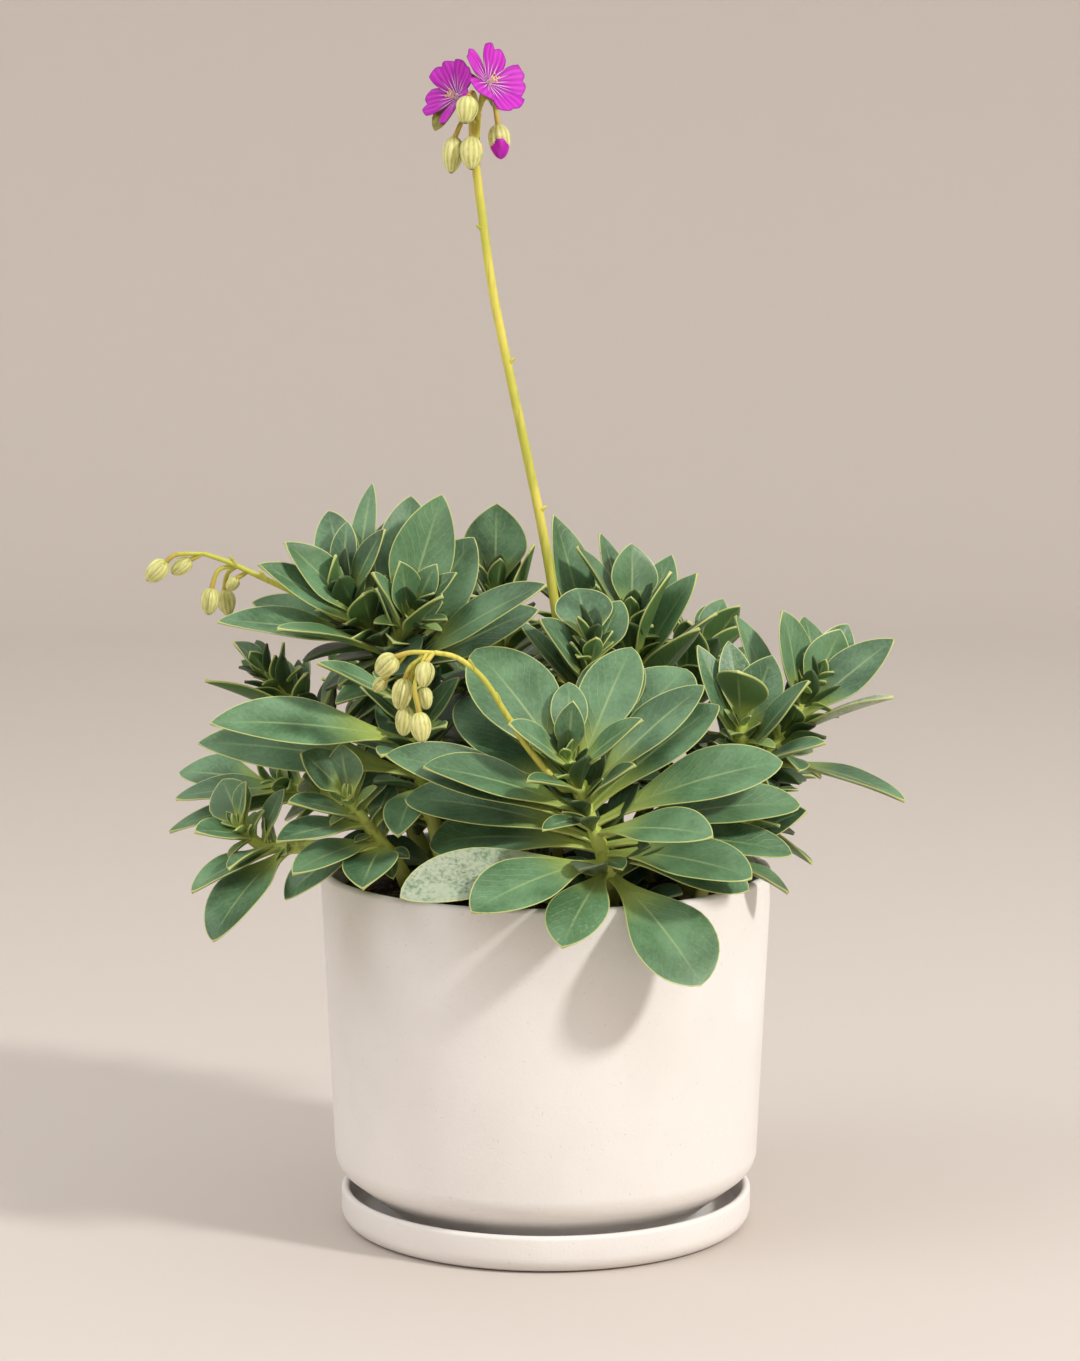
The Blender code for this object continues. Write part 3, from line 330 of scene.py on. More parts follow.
pot = {
    "rimRadius": 125.0,
    "rimHeight": 201.0,
    "sideRadius": 117.8,
    "cornerRadius": 16.0,
    "cornerHeight": 42.0,
    "undercut": 52.0,               # degrees that the corner turns, before the slant to the foot
    "wall": 5.6,
    "floor": 8.0,
    "lip": 2.8,
    "drain": 7.0,
    "cornerSteps": (12, 18),        # inside and outside
    "steps": 160,
}
saucer = {
    "radius": 114.4,
    "height": 21.0,
    "wall": 4.6,
    "floor": 4.0,
    "cornerRadius": 9.0,
    "wellRadius": 4.0,
    "flatRadius": 60.0,             # a ring of points keeps the middle flat
    "gap": 0.3,
    "steps": 160,
}
ceramicLook = {
    "lit": (0.840, 0.815, 0.790),
    "shaded": (0.800, 0.775, 0.750),
    "speck": (0.55, 0.49, 0.43),
}


def ceramicFinish():
    made = Finish("ceramic", Specular_IOR_Level=0.35)
    cloud = made.noise(14.0, 4.0)
    grain = made.noise(1500.0, 2.0)
    pores = made.ramp(made.noise(620.0, 1.0), 0.70, 0.78)
    base = made.mix(made.ramp(cloud, 0.35, 0.65), ceramicLook["shaded"], ceramicLook["lit"])
    made.colour(made.mix(pores * 0.28, base, ceramicLook["speck"]))
    made.roughness(0.5 + grain * 0.16)
    made.bump(grain * 0.6 + made.noise(420.0, 3.0) * 0.5 - pores * 0.5, 0.16)
    return made.material


def potCorner(bend, low, steps):
    # the pot's round corner, this tight, and the end of the slant below it
    middle = (pot["sideRadius"] - pot["cornerRadius"], pot["cornerHeight"])
    points = arcPoints(middle, bend, -pot["undercut"], 0, steps)
    radius, height = points[0]
    slant = math.tan(math.radians(90 - pot["undercut"]))
    return [(radius - (height - low) / slant, low)] + points


def potInside(clearance):
    # the pot's inner outline from its floor up, this far inside the wall
    shift = pot["wall"] + clearance
    low = saucer["floor"] + saucer["gap"] + pot["floor"] + clearance
    corner = potCorner(pot["cornerRadius"] - shift, low, pot["cornerSteps"][0])
    return corner + [(pot["rimRadius"] - shift, pot["rimHeight"])]


def makePot(finish):
    low = saucer["floor"] + saucer["gap"]
    lip = pot["lip"]
    outline = arcPoints((pot["rimRadius"] - lip, pot["rimHeight"] - lip), lip, 175, 0, 10)
    outline += potCorner(pot["cornerRadius"], low, pot["cornerSteps"][1])[::-1]
    inside = potInside(0.0)[:-1]
    outline += [(pot["drain"], low), (pot["drain"], inside[0][1])] + inside
    piece = turnedPiece("potBody", outline, pot["steps"], closed=True)
    piece.data.materials.append(finish)
    return finishPiece(piece, "pot")


def makeSaucer(finish):
    lip = saucer["wall"] / 2
    well = saucer["wellRadius"]
    inner = saucer["radius"] - saucer["wall"]
    outer = saucer["radius"] - saucer["cornerRadius"]
    flat = saucer["flatRadius"]
    outline = [(0.0, saucer["floor"]), (flat, saucer["floor"])]
    outline += arcPoints((inner - well, saucer["floor"] + well), well, -90, 0, 6)
    outline += arcPoints((saucer["radius"] - lip, saucer["height"] - lip), lip, 180, 0, 10)
    outline += arcPoints((outer, saucer["cornerRadius"]), saucer["cornerRadius"], 0, -90, 8)
    outline += [(flat, 0.0), (0.0, 0.0)]
    piece = turnedPiece("saucerDish", outline, saucer["steps"])
    piece.data.materials.append(finish)
    return finishPiece(piece, "saucer")


# Potting mix

soil = {
    "height": 186.0,
    "dome": 5.0,
    "relief": 1.2,
    "waves": (0.11, 0.13, 0.21),    # how close together the low waves of the surface lie
    "crumb": 1.6,
    "crumbScale": 0.21,
    "crumbPeak": 0.9,
    "edge": 3.0,                    # how far from the wall the surface starts to dip
    "edgeDrop": 2.4,
    "steps": 144,
    "rings": 34,
    "bits": 150,
    "bitSize": (1.6, 4.6),
    "bitWidth": (0.5, 0.9),
    "bitFlat": 0.4,
    "bitTilt": 0.5,
    "bitRise": 0.2,
    "bitRoom": 5.0,                 # bits keep this far from the wall
    "gap": 0.3,
    "dark": (0.020, 0.014, 0.010),
    "light": (0.075, 0.050, 0.032),
    "bitDark": (0.045, 0.028, 0.018),
    "bitLight": (0.17, 0.105, 0.06),
}


def soilFinish(name, dark, light):
    made = Finish(name, Specular_IOR_Level=0.25)
    grain = made.noise(420.0, 5.0)
    made.colour(made.mix(made.ramp(grain, 0.35, 0.72), dark, light))
    made.roughness(0.85 + grain * 0.1)
    made.bump(grain, 0.9)
    return made.material


def soilHeight(x, y):
    reach = math.hypot(x, y) / (pot["rimRadius"] - pot["wall"])
    a, b, c = soil["waves"]
    waves = math.sin(x * a + 1.0) * math.cos(y * b) + 0.6 * math.sin((x - y) * c)
    return soil["height"] + soil["dome"] * (1 - reach * reach) + soil["relief"] * waves


def makeSoil():
    outer = potInside(soil["gap"])
    low, top = outer[-2], outer[-1]
    lean = (top[0] - low[0]) / (top[1] - low[1])
    rim = low[0] + (soil["height"] - low[1]) * lean
    rings = [(rim * i / soil["rings"], soil["height"]) for i in range(soil["rings"] + 1)]
    piece = turnedPiece("soilBed", rings + outer[-2::-1] + [(0.0, outer[0][1])], soil["steps"])
    for vertex in piece.data.vertices:
        x, y, z = vertex.co / mm
        edge = math.hypot(x, y)
        if z > soil["height"] - 0.01:
            drop = soil["edgeDrop"] * soil["relief"] * max(0.0, (edge - rim + soil["edge"]) / soil["edge"])
            crumb = noise.fractal(Vector((x, y, 0)) * soil["crumbScale"], 1.0, 2.2, 4) * soil["crumb"]
            vertex.co.z = (soilHeight(x, y) - drop + min(crumb, soil["crumbPeak"])) * mm
    piece.data.materials.append(soilFinish("pottingMix", soil["dark"], soil["light"]))
    bits = makeBits(rim)
    return finishPiece(joinPieces("soilBed", [piece] + bits), "soil", 50)


def makeBits(rim):
    # pieces of bark: one lump is modelled, and each copy is turned and squashed its own way
    clearSelection()
    bpy.ops.mesh.primitive_ico_sphere_add(subdivisions=2, radius=1.0)
    lump = bpy.context.object
    for vertex in lump.data.vertices:
        vertex.co *= 1 + 0.35 * noise.noise(vertex.co * 1.7)
    lump.data.materials.append(soilFinish("bark", soil["bitDark"], soil["bitLight"]))
    draw = random.Random(11)
    made = []
    for i in range(soil["bits"]):
        a = draw.uniform(0, 2 * math.pi)
        reach = (rim - soil["bitRoom"]) * math.sqrt(draw.uniform(0.05, 1.0))
        x, y = reach * math.cos(a), reach * math.sin(a)
        size = draw.uniform(*soil["bitSize"])
        turn = Matrix.Rotation(draw.uniform(0, 6.28), 4, "Z")
        turn = turn @ Matrix.Rotation(draw.uniform(-soil["bitTilt"], soil["bitTilt"]), 4, "X")
        shape = Matrix.Diagonal((size, size * draw.uniform(*soil["bitWidth"]), size * soil["bitFlat"], 1))
        place = Matrix.Translation((x, y, soilHeight(x, y) + soil["bitRise"]))
        bit = addObject(f"bit{i}", lump.data.copy())
        bit.data.transform(Matrix.Scale(mm, 4) @ place @ turn @ shape)
        made.append(bit)
    bpy.data.objects.remove(lump, do_unlink=True)
    return made


# Leafy stems

leaf = {
    "longLeaf": 48.0,
    "longStations": (0.26, 0.5, 0.74, 0.92),
    "shortStations": (0.3, 0.6, 0.86),
    "neck": 0.17,
    "neckWidth": 4.5,
    "bluntPeak": 0.68,
    "spearPeak": 0.57,
    "coarseCurves": (1.1, 2.3, 0.75, 1.8),      # of the stand-ins: foot, spoon, its squareness, spear
    "fold": 0.34,
    "flatter": 0.0035,              # wider leaves fold less
    "foldCurve": 1.35,
    "arch": 34.0,
    "archLess": 0.8,                # leaves that point the way their branch faces arch less
    "thick": 2.5,
    "thinning": (1.3, 0.6),         # times the thickness: at the root, and how much less at the tip
    "above": 0.3,                   # share of the thickness on the upper side
    "below": 0.7,
    "fullThickWidth": 16.0,         # narrower leaves are thinner
    "ribDip": 0.28,
    "ribHalf": 1.1,
    "edge": 0.45,
    "clear": 0.5,
    "rootSink": 2.0,
    "fillWidth": 0.42,              # width as a share of the length
    "extraWidth": 0.46,
    "lowRise": 8.0,                 # degrees that the lowest leaves of a crown rise, and the highest
    "highRise": 66.0,
    "shorter": 0.5,
    "fullRimWidth": 24.0,           # narrower leaves have finer pale rims
    "rimShares": (0.55, 0.45),      # how wide the finest rims are as a share, and what width adds
    "goldenAngle": math.radians(137.508),
    "bendSizes": (5, 10, 16, 23),   # degrees a leaf may be turned to clear its neighbours
    "shrinks": (1.0, 0.88),         # its sizes to try
    "tipHalf": 0.22,
    "tipCrowding": 1.35,            # more puts more of the points near the tip
    "taper": 1.4,                   # more gives a longer narrow foot
    "spearCurve": 1.9,
    "spoonCurve": (2.8, 0.62),
    "oldPoint": (0.22, 0.80),       # how pointed the spoon-shaped leaves are, old and young
    "spearPoint": (0.42, 0.80),
    "youngGain": 1.15,
    "youngShift": 0.12,
    "boxRoom": 4.0,
    "lowest": 170.0,
    "wave": 0.55,
    "wavePace": (7, 12),
    "fullWaveWidth": 25.0,
    "twist": 7.0,
}
leafLook = {
    "deep": (0.018, 0.066, 0.020),
    "pale": (0.078, 0.190, 0.064),
    "bloom": (0.192, 0.350, 0.188),
    # leaf foot colour: its own yellow-green, made brighter as painted glow of light through the leaf
    "neck": (0.480, 0.590, 0.110),
    "rib": (0.340, 0.450, 0.190),
    "rim": (0.560, 0.600, 0.200),
    "under": (0.105, 0.205, 0.055),
    "scuff": (0.470, 0.520, 0.390),
    "nick": (0.360, 0.220, 0.080),
    "rimWidth": 0.48,
    # young leaves' own lighter tint, brightened further as painted glow of light through them
    "youngTintAndGlow": (0.330, 0.500, 0.140),
    # painted shade: the near-black green that inner leaves are darkened towards, as shadow deep in the canopy
    "paintedInnerShade": (0.012, 0.036, 0.010),
    "ribWidth": 0.55,
}
stem = {
    "holeDepth": 26.0,
    "collar": 3.0,
    "testSpacing": 22.0,
    "spacing": 3.5,
    "sides": 6,
    "knots": 0.35,
    "youngAbove": 90.0,             # height over the soil at which the bark counts as young
    "young": (0.500, 0.590, 0.120),
    "old": (0.230, 0.215, 0.070),
    "scar": (0.180, 0.150, 0.060),
}


def leafFinish():
    made = Finish("leafBlade", Specular_IOR_Level=0.52, Sheen_Weight=0.04, Sheen_Roughness=0.4)
    rimGap, ribGap, fromRoot = (made.attribute("leafShape", i) for i in range(3))
    tone, side, share = (made.attribute("leafLook", i) for i in range(3))
    # dryness, painted shade of inner leaves, and the young tint with painted glow of heart leaves
    dry, paintedInnerShade, youngTintAndGlow = (made.attribute("leafWearAndPaintedLight", i) for i in range(3))
    cloud = made.noise(38.0, 4.0)
    fine = made.noise(520.0, 3.0)
    shade = made.mix(tone * 0.75 + (cloud - 0.5) * 0.9, leafLook["deep"], leafLook["pale"])
    dusted = made.ramp(cloud + fine * 0.35, 0.45, 0.95)
    top = made.mix(dusted * 0.55 + 0.10, shade, leafLook["bloom"])
    course = (fromRoot - ribGap * 1.6) * 0.8 + cloud * 22.0 + fine * 1.5
    lines = course.maths("SINE", course)
    veins = made.ramp(lines, 0.72, 1.0) * made.ramp(rimGap, 0.5, 3.0)
    top = made.mix(veins * 0.07, top, leafLook["rib"])
    under = made.mix(cloud * 0.5, leafLook["under"], shade)
    face = made.mix(made.ramp(side, 0.3, 0.7), under, top)
    # heart leaves: their own young tint, brightened further as painted glow of light through them
    face = made.mix(youngTintAndGlow * (0.80 - cloud * 0.3), face, leafLook["youngTintAndGlow"])
    # the leaf's foot turns yellow-green: partly its own colour, partly painted glow of light through the leaf
    neck = made.ramp(share, 0.52, 0.10)
    face = made.mix(neck * 0.9, face, leafLook["neck"])
    rib = made.ramp(ribGap, leafLook["ribWidth"] + 0.5, 0.15) * made.ramp(share, 1.02, 0.55)
    face = made.mix(rib * 0.62, face, leafLook["rib"])
    patches = made.noise(85.0, 5.0) * 0.45 + fine * 0.55 + (dry - 0.9) * 1.2
    worn = made.ramp(patches, 0.36, 0.70) * made.ramp(share, 0.20, 0.55)
    face = made.mix(worn * 0.85, face, leafLook["scuff"])
    rim = made.ramp(rimGap, leafLook["rimWidth"] + 0.25, leafLook["rimWidth"] - 0.3)
    # painted shade: on inner leaves the pale rims are dimmed and the face is darkened, as shadow deep in the
    # canopy
    face = made.mix(rim * (0.88 - paintedInnerShade * 0.6), face, leafLook["rim"])
    face = made.mix(paintedInnerShade * 0.72, face, leafLook["paintedInnerShade"])
    nicks = made.ramp(made.noise(160.0, 2.0), 0.70, 0.76) * made.ramp(rimGap, 1.6, 0.2)
    made.colour(made.mix(nicks * 0.7, face, leafLook["nick"]))
    made.roughness(0.36 + fine * 0.12 + dusted * 0.08)
    made.bump(veins * 0.5 + fine * 0.25 - rib * 0.5, 0.16)
    return made.material


def stemFinish():
    made = Finish("fleshyStem", Specular_IOR_Level=0.4)
    height = made.attribute("stemLook", 0)
    cloud = made.noise(60.0, 4.0)
    scars = made.ramp(made.noise(120.0, 2.0), 0.60, 0.68)
    base = made.mix(made.ramp(height + (cloud - 0.5) * 0.4, 0.0, 0.45), stem["old"], stem["young"])
    made.colour(made.mix(scars * 0.45, base, stem["scar"]))
    made.roughness(0.42 + cloud * 0.2)
    made.bump(cloud + scars * 0.4, 0.5)
    return made.material


def smoothPath(points, spacing):
    # a smooth curve through given points, sampled about this far apart
    ends = [points[0] * 2 - points[1], *points, points[-1] * 2 - points[-2]]
    path = []
    for i in range(1, len(ends) - 2):
        before, start, end, after = ends[i - 1:i + 3]
        steps = max(1, round((end - start).length / spacing))
        for step in range(steps):
            t = step / steps
            bow = (2 * before - 5 * start + 4 * end - after) * t * t
            swing = (3 * start - before - 3 * end + after) * t * t * t
            path.append(0.5 * (2 * start + (end - before) * t + bow + swing))
    path.append(points[-1].copy())
    return path


def rootedPath(foot, points, spacing):
    # straight in its hole in the soil, then through its points
    low = vec((*foot, soil["height"] - stem["holeDepth"]))
    collar = vec((*foot, soil["height"] + soil["dome"] + stem["collar"]))
    return [low] + smoothPath([collar] + points, spacing)


def axisPath(spec, number, spacing):
    points = [vec(p) for p in spec["axes"][number]["route"]]
    if number == 0:
        return rootedPath(spec["foot"], points, spacing)
    return smoothPath(points, spacing)


def along(path, share):
    # the point and direction at a share of a path's length
    lengths = [(b - a).length for a, b in zip(path, path[1:])]
    left = max(0.0, min(1.0, share)) * sum(lengths)
    for a, b, length in zip(path, path[1:], lengths):
        if left <= length or b is path[-1]:
            return a.lerp(b, min(1.0, left / length)), (b - a).normalized()
        left -= length
    return path[-1], (path[-1] - path[-2]).normalized()


def pathLength(path):
    return sum((b - a).length for a, b in zip(path, path[1:]))


def tube(name, path, startRadius, endRadius, finish, rounding=4, knots=0.0):
    # a tapering stem as a curve with a bevel, made a mesh, with small knots
    curve = bpy.data.curves.new(name, "CURVE")
    curve.dimensions = "3D"
    curve.bevel_depth = mm
    curve.bevel_resolution = rounding
    curve.use_fill_caps = True
    spline = curve.splines.new("POLY")
    spline.points.add(len(path) - 1)
    total, run = pathLength(path), 0.0
    for i, point in enumerate(path):
        run += (point - path[i - 1]).length if i else 0.0
        share = run / total
        swell = 1 + knots * 0.4 * noise.noise(Vector((run * 0.16, startRadius, 0)))
        spline.points[i].co = (*(point * mm), 1.0)
        spline.points[i].radius = (startRadius + (endRadius - startRadius) * share) * swell
    selectOnly(addObject(name, curve))
    bpy.ops.object.convert(target="MESH")
    piece = bpy.context.object
    closeMesh()
    bpy.ops.object.shade_smooth_by_angle(angle=math.radians(50))
    for vertex in piece.data.vertices:
        bump = noise.noise(vertex.co * 190.0) * knots
        vertex.co += vertex.normal * bump * mm
    rise = (readPlaces(piece.data)[:, 2] / mm - soil["height"]) / stem["youngAbove"]
    writeAttribute(piece.data, "stemLook", rise, rise, rise)
    piece.data.materials.clear()
    piece.data.materials.append(finish)
    return piece


def leafOutline(t, neck, blunt):
    # half-width as a share of the widest: spoon-shaped if blunt, else spear-shaped
    peak = leaf["bluntPeak"] if blunt else leaf["spearPeak"]
    low, full, square, spear = leaf["coarseCurves"]
    if t < peak:
        s = t / peak
        return neck + (1 - neck) * (s * s * (3 - 2 * s)) ** low
    s = (t - peak) / (1 - peak)
    return (1 - s**full) ** square if blunt else 1 - s**spear


def bladeFrame(root, tip, facing):
    # the arched midline of a leaf: its axes at the root, its bend and its turning radius
    chord = tip - root
    ahead = chord.normalized()
    up = (facing - facing.dot(ahead) * ahead).normalized()
    bend = math.radians(leaf["arch"] * (1 - leaf["archLess"] * ahead.dot(facing)))
    start = ahead * math.cos(bend / 2) + up * math.sin(bend / 2)
    rise = up * math.cos(bend / 2) - ahead * math.sin(bend / 2)
    return ahead, ahead.cross(up), start, rise, bend, chord.length / (2 * math.sin(bend / 2))


def bladeNeck(width):
    return max(leaf["neck"], leaf["neckWidth"] / width)


def bladeFold(width):
    return leaf["fold"] - leaf["flatter"] * width


def bladeThick(t):
    thick, thinner = leaf["thinning"]
    return leaf["thick"] * (thick - thinner * t)


def testBlade(root, tip, width, facing, blunt, grow, first):
    # a coarse stand-in for a leaf, as corners and faces, to find out what it would cross
    ahead, side, start, rise, bend, turn = bladeFrame(root, tip, facing)
    long = (tip - root).length > leaf["longLeaf"]
    stations = leaf["longStations"] if long else leaf["shortStations"]
    neck, fold = bladeNeck(width), bladeFold(width)
    corners = []
    for t in stations[first:]:
        angle = bend * t
        middle = root + turn * (start * math.sin(angle) - rise * (1 - math.cos(angle)))
        normal = rise * math.cos(angle) + start * math.sin(angle)
        half = width / 2 * leafOutline(t, neck, blunt)
        thick = bladeThick(t)
        edge = side * (half + grow)
        lift = normal * fold * half
        corners += [middle - edge + lift, middle + normal * (leaf["above"] * thick + grow)]
        corners += [middle + edge + lift, middle - normal * (leaf["below"] * thick + grow)]
    faces = ringFaces(len(corners), 4)
    last = len(corners) - 4
    corners.append(tip + ahead * grow)
    faces += [(last + i, last + (i + 1) % 4, last + 4) for i in range(4)]
    if first:
        faces.append((3, 2, 1, 0))
    else:
        corners.append(root - start * leaf["rootSink"])
        faces += [((i + 1) % 4, i, last + 5) for i in range(4)]
    return corners, faces


def ringFaces(count, sides):
    # the faces between rings of this many sides, which follow each other in a list of corners
    faces = []
    for low in range(0, count - sides, sides):
        for k in range(sides):
            over = (k + 1) % sides
            faces.append((low + k, low + over, low + sides + over, low + sides + k))
    return faces


def testTube(path, startRadius, endRadius):
    # a coarse stand-in for a stem
    corners, sides = [], stem["sides"]
    across = (path[1] - path[0]).normalized().orthogonal()
    for i, point in enumerate(path):
        ahead = (path[min(i + 1, len(path) - 1)] - path[max(i - 1, 0)]).normalized()
        across = (across - across.dot(ahead) * ahead).normalized()
        radius = startRadius + (endRadius - startRadius) * i / (len(path) - 1)
        for k in range(sides):
            corners.append(point + Matrix.Rotation(2 * math.pi * k / sides, 3, ahead) @ across * radius)
    return corners, ringFaces(len(corners), sides)


def reachOf(corners):
    # the lowest and highest corner of the box round these points
    return [min(c[i] for c in corners) for i in range(3)], [max(c[i] for c in corners) for i in range(3)]


class Space:
    # what is already placed, so that the next leaf can be turned clear of it
    def __init__(self):
        self.taken = []

    def add(self, owner, corners, faces, outer=None):
        ends = BVHTree.FromPolygons(*outer) if outer else None
        self.taken.append((owner, *reachOf(corners), BVHTree.FromPolygons(corners, faces), ends))

    def addNode(self, name):
        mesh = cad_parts[name].data
        corners = [v.co / mm for v in mesh.vertices]
        self.add(name, corners, [tuple(p.vertices) for p in mesh.polygons])

    def crosses(self, owner, whole, outer):
        low, high = reachOf(whole[0])
        tree, outerTree = BVHTree.FromPolygons(*whole), BVHTree.FromPolygons(*outer)
        for other, otherLow, otherHigh, solid, ends in self.taken:
            if any(low[i] > otherHigh[i] or high[i] < otherLow[i] for i in range(3)):
                continue
            if other != owner and tree.overlap(solid):
                return True
            if other == owner and ends and outerTree.overlap(ends):
                return True
        return False


def bends():
    # small turns and lifts to try, the gentlest first
    steps = [(0, 0)]
    for size in leaf["bendSizes"]:
        steps += [(size, 0), (-size, 0), (0, size), (0, -size)]
        steps += [(size, size), (-size, size), (size, -size), (-size, -size)]
    return steps


def placeBlade(space, owner, root, tip, width, facing, blunt):
    # where the leaf goes, turned and lifted until it is clear, or None
    chord = tip - root
    side = chord.normalized().cross(facing).normalized()
    up = side.cross(chord.normalized())
    for shrink in leaf["shrinks"]:
        for turn, lift in bends():
            spin = Matrix.Rotation(math.radians(turn), 3, up) @ Matrix.Rotation(math.radians(lift), 3, side)
            end = root + spin @ chord * shrink
            spread = width * shrink
            whole = testBlade(root, end, spread, facing, blunt, leaf["clear"], 0)
            outer = testBlade(root, end, spread, facing, blunt, 0.0, 1)
            if not space.crosses(owner, whole, outer):
                space.add(owner, *whole, outer)
                return root, end, spread, facing, blunt
    return None


def crownRoots(path, crown, count):
    # places along the top of a stem where its leaves grow, from low to high
    share = min(0.9, crown / pathLength(path))
    return [along(path, 1 - share + (share - 0.01) * i / max(1, count - 1)) for i in range(count)]


def signatureBlades(space, owner, axis, path):
    # the leaves that the branch lists by their tips, each with no kind
    facing = vec(axis["facing"]).normalized()
    blunt = axis.get("blunt", False)
    placed = []
    roots = crownRoots(path, axis["crown"], len(axis["leaves"]))
    for (root, _), (x, y, z, width) in zip(roots, axis["leaves"]):
        made = placeBlade(space, owner, root, vec((x, y, z)), width, facing, blunt)
        if made:
            placed.append((*made, None))
    return placed


def fillBlades(space, owner, axis, path, firstTurn, count, longest, crown,
               kind=None, highRise=leaf["highRise"]):
    # leaves by the golden angle: lower ones long and spreading, upper ones short and upright
    facing = vec(axis["facing"]).normalized()
    widthShare = leaf["extraWidth"] if kind else leaf["fillWidth"]
    placed = []
    for i, (root, ahead) in enumerate(crownRoots(path, crown, count)):
        share = i / max(1, count - 1)
        lead = (ahead + facing).normalized()
        out = Matrix.Rotation(firstTurn + i * leaf["goldenAngle"], 3, lead) @ lead.orthogonal().normalized()
        rise = math.radians(leaf["lowRise"] + (highRise - leaf["lowRise"]) * share)
        length = longest * (1.0 - leaf["shorter"] * share)
        tip = root + (out * math.cos(rise) + lead * math.sin(rise)) * length
        if kind and not withinBox(tip):
            continue
        made = placeBlade(space, owner, root, tip, length * widthShare, lead, axis.get("blunt", False))
        if made:
            placed.append((*made, kind))
    return placed


def withinBox(tip):
    # a leaf's tip keeps clear of the sides of the frame's box, and of the ground
    low, high = (Vector(corner) / mm for corner in cadBox)
    room = leaf["boxRoom"]
    return all(low[i] + room < tip[i] < high[i] - room for i in range(2)) and tip.z > leaf["lowest"]


def bladeTemplate(name, across, lengthwise):
    # a flat sheet from -1 to 1 across and 0 to 1 along, with an underside joined round its rim
    clearSelection()
    bpy.ops.mesh.primitive_grid_add(x_subdivisions=across, y_subdivisions=lengthwise, size=2)
    sheet = bpy.context.object
    sheet.name = name
    editAll()
    bpy.ops.transform.resize(value=(1, 0.5, 1))
    bpy.ops.transform.translate(value=(0, 0.5, 0))
    bpy.ops.object.mode_set(mode="OBJECT")
    applyModifier(sheet, "SOLIDIFY", thickness=2.0, offset=0.0)
    bpy.ops.object.shade_smooth_by_angle(angle=math.radians(50))
    return sheet, readPlaces(sheet.data).astype(float)


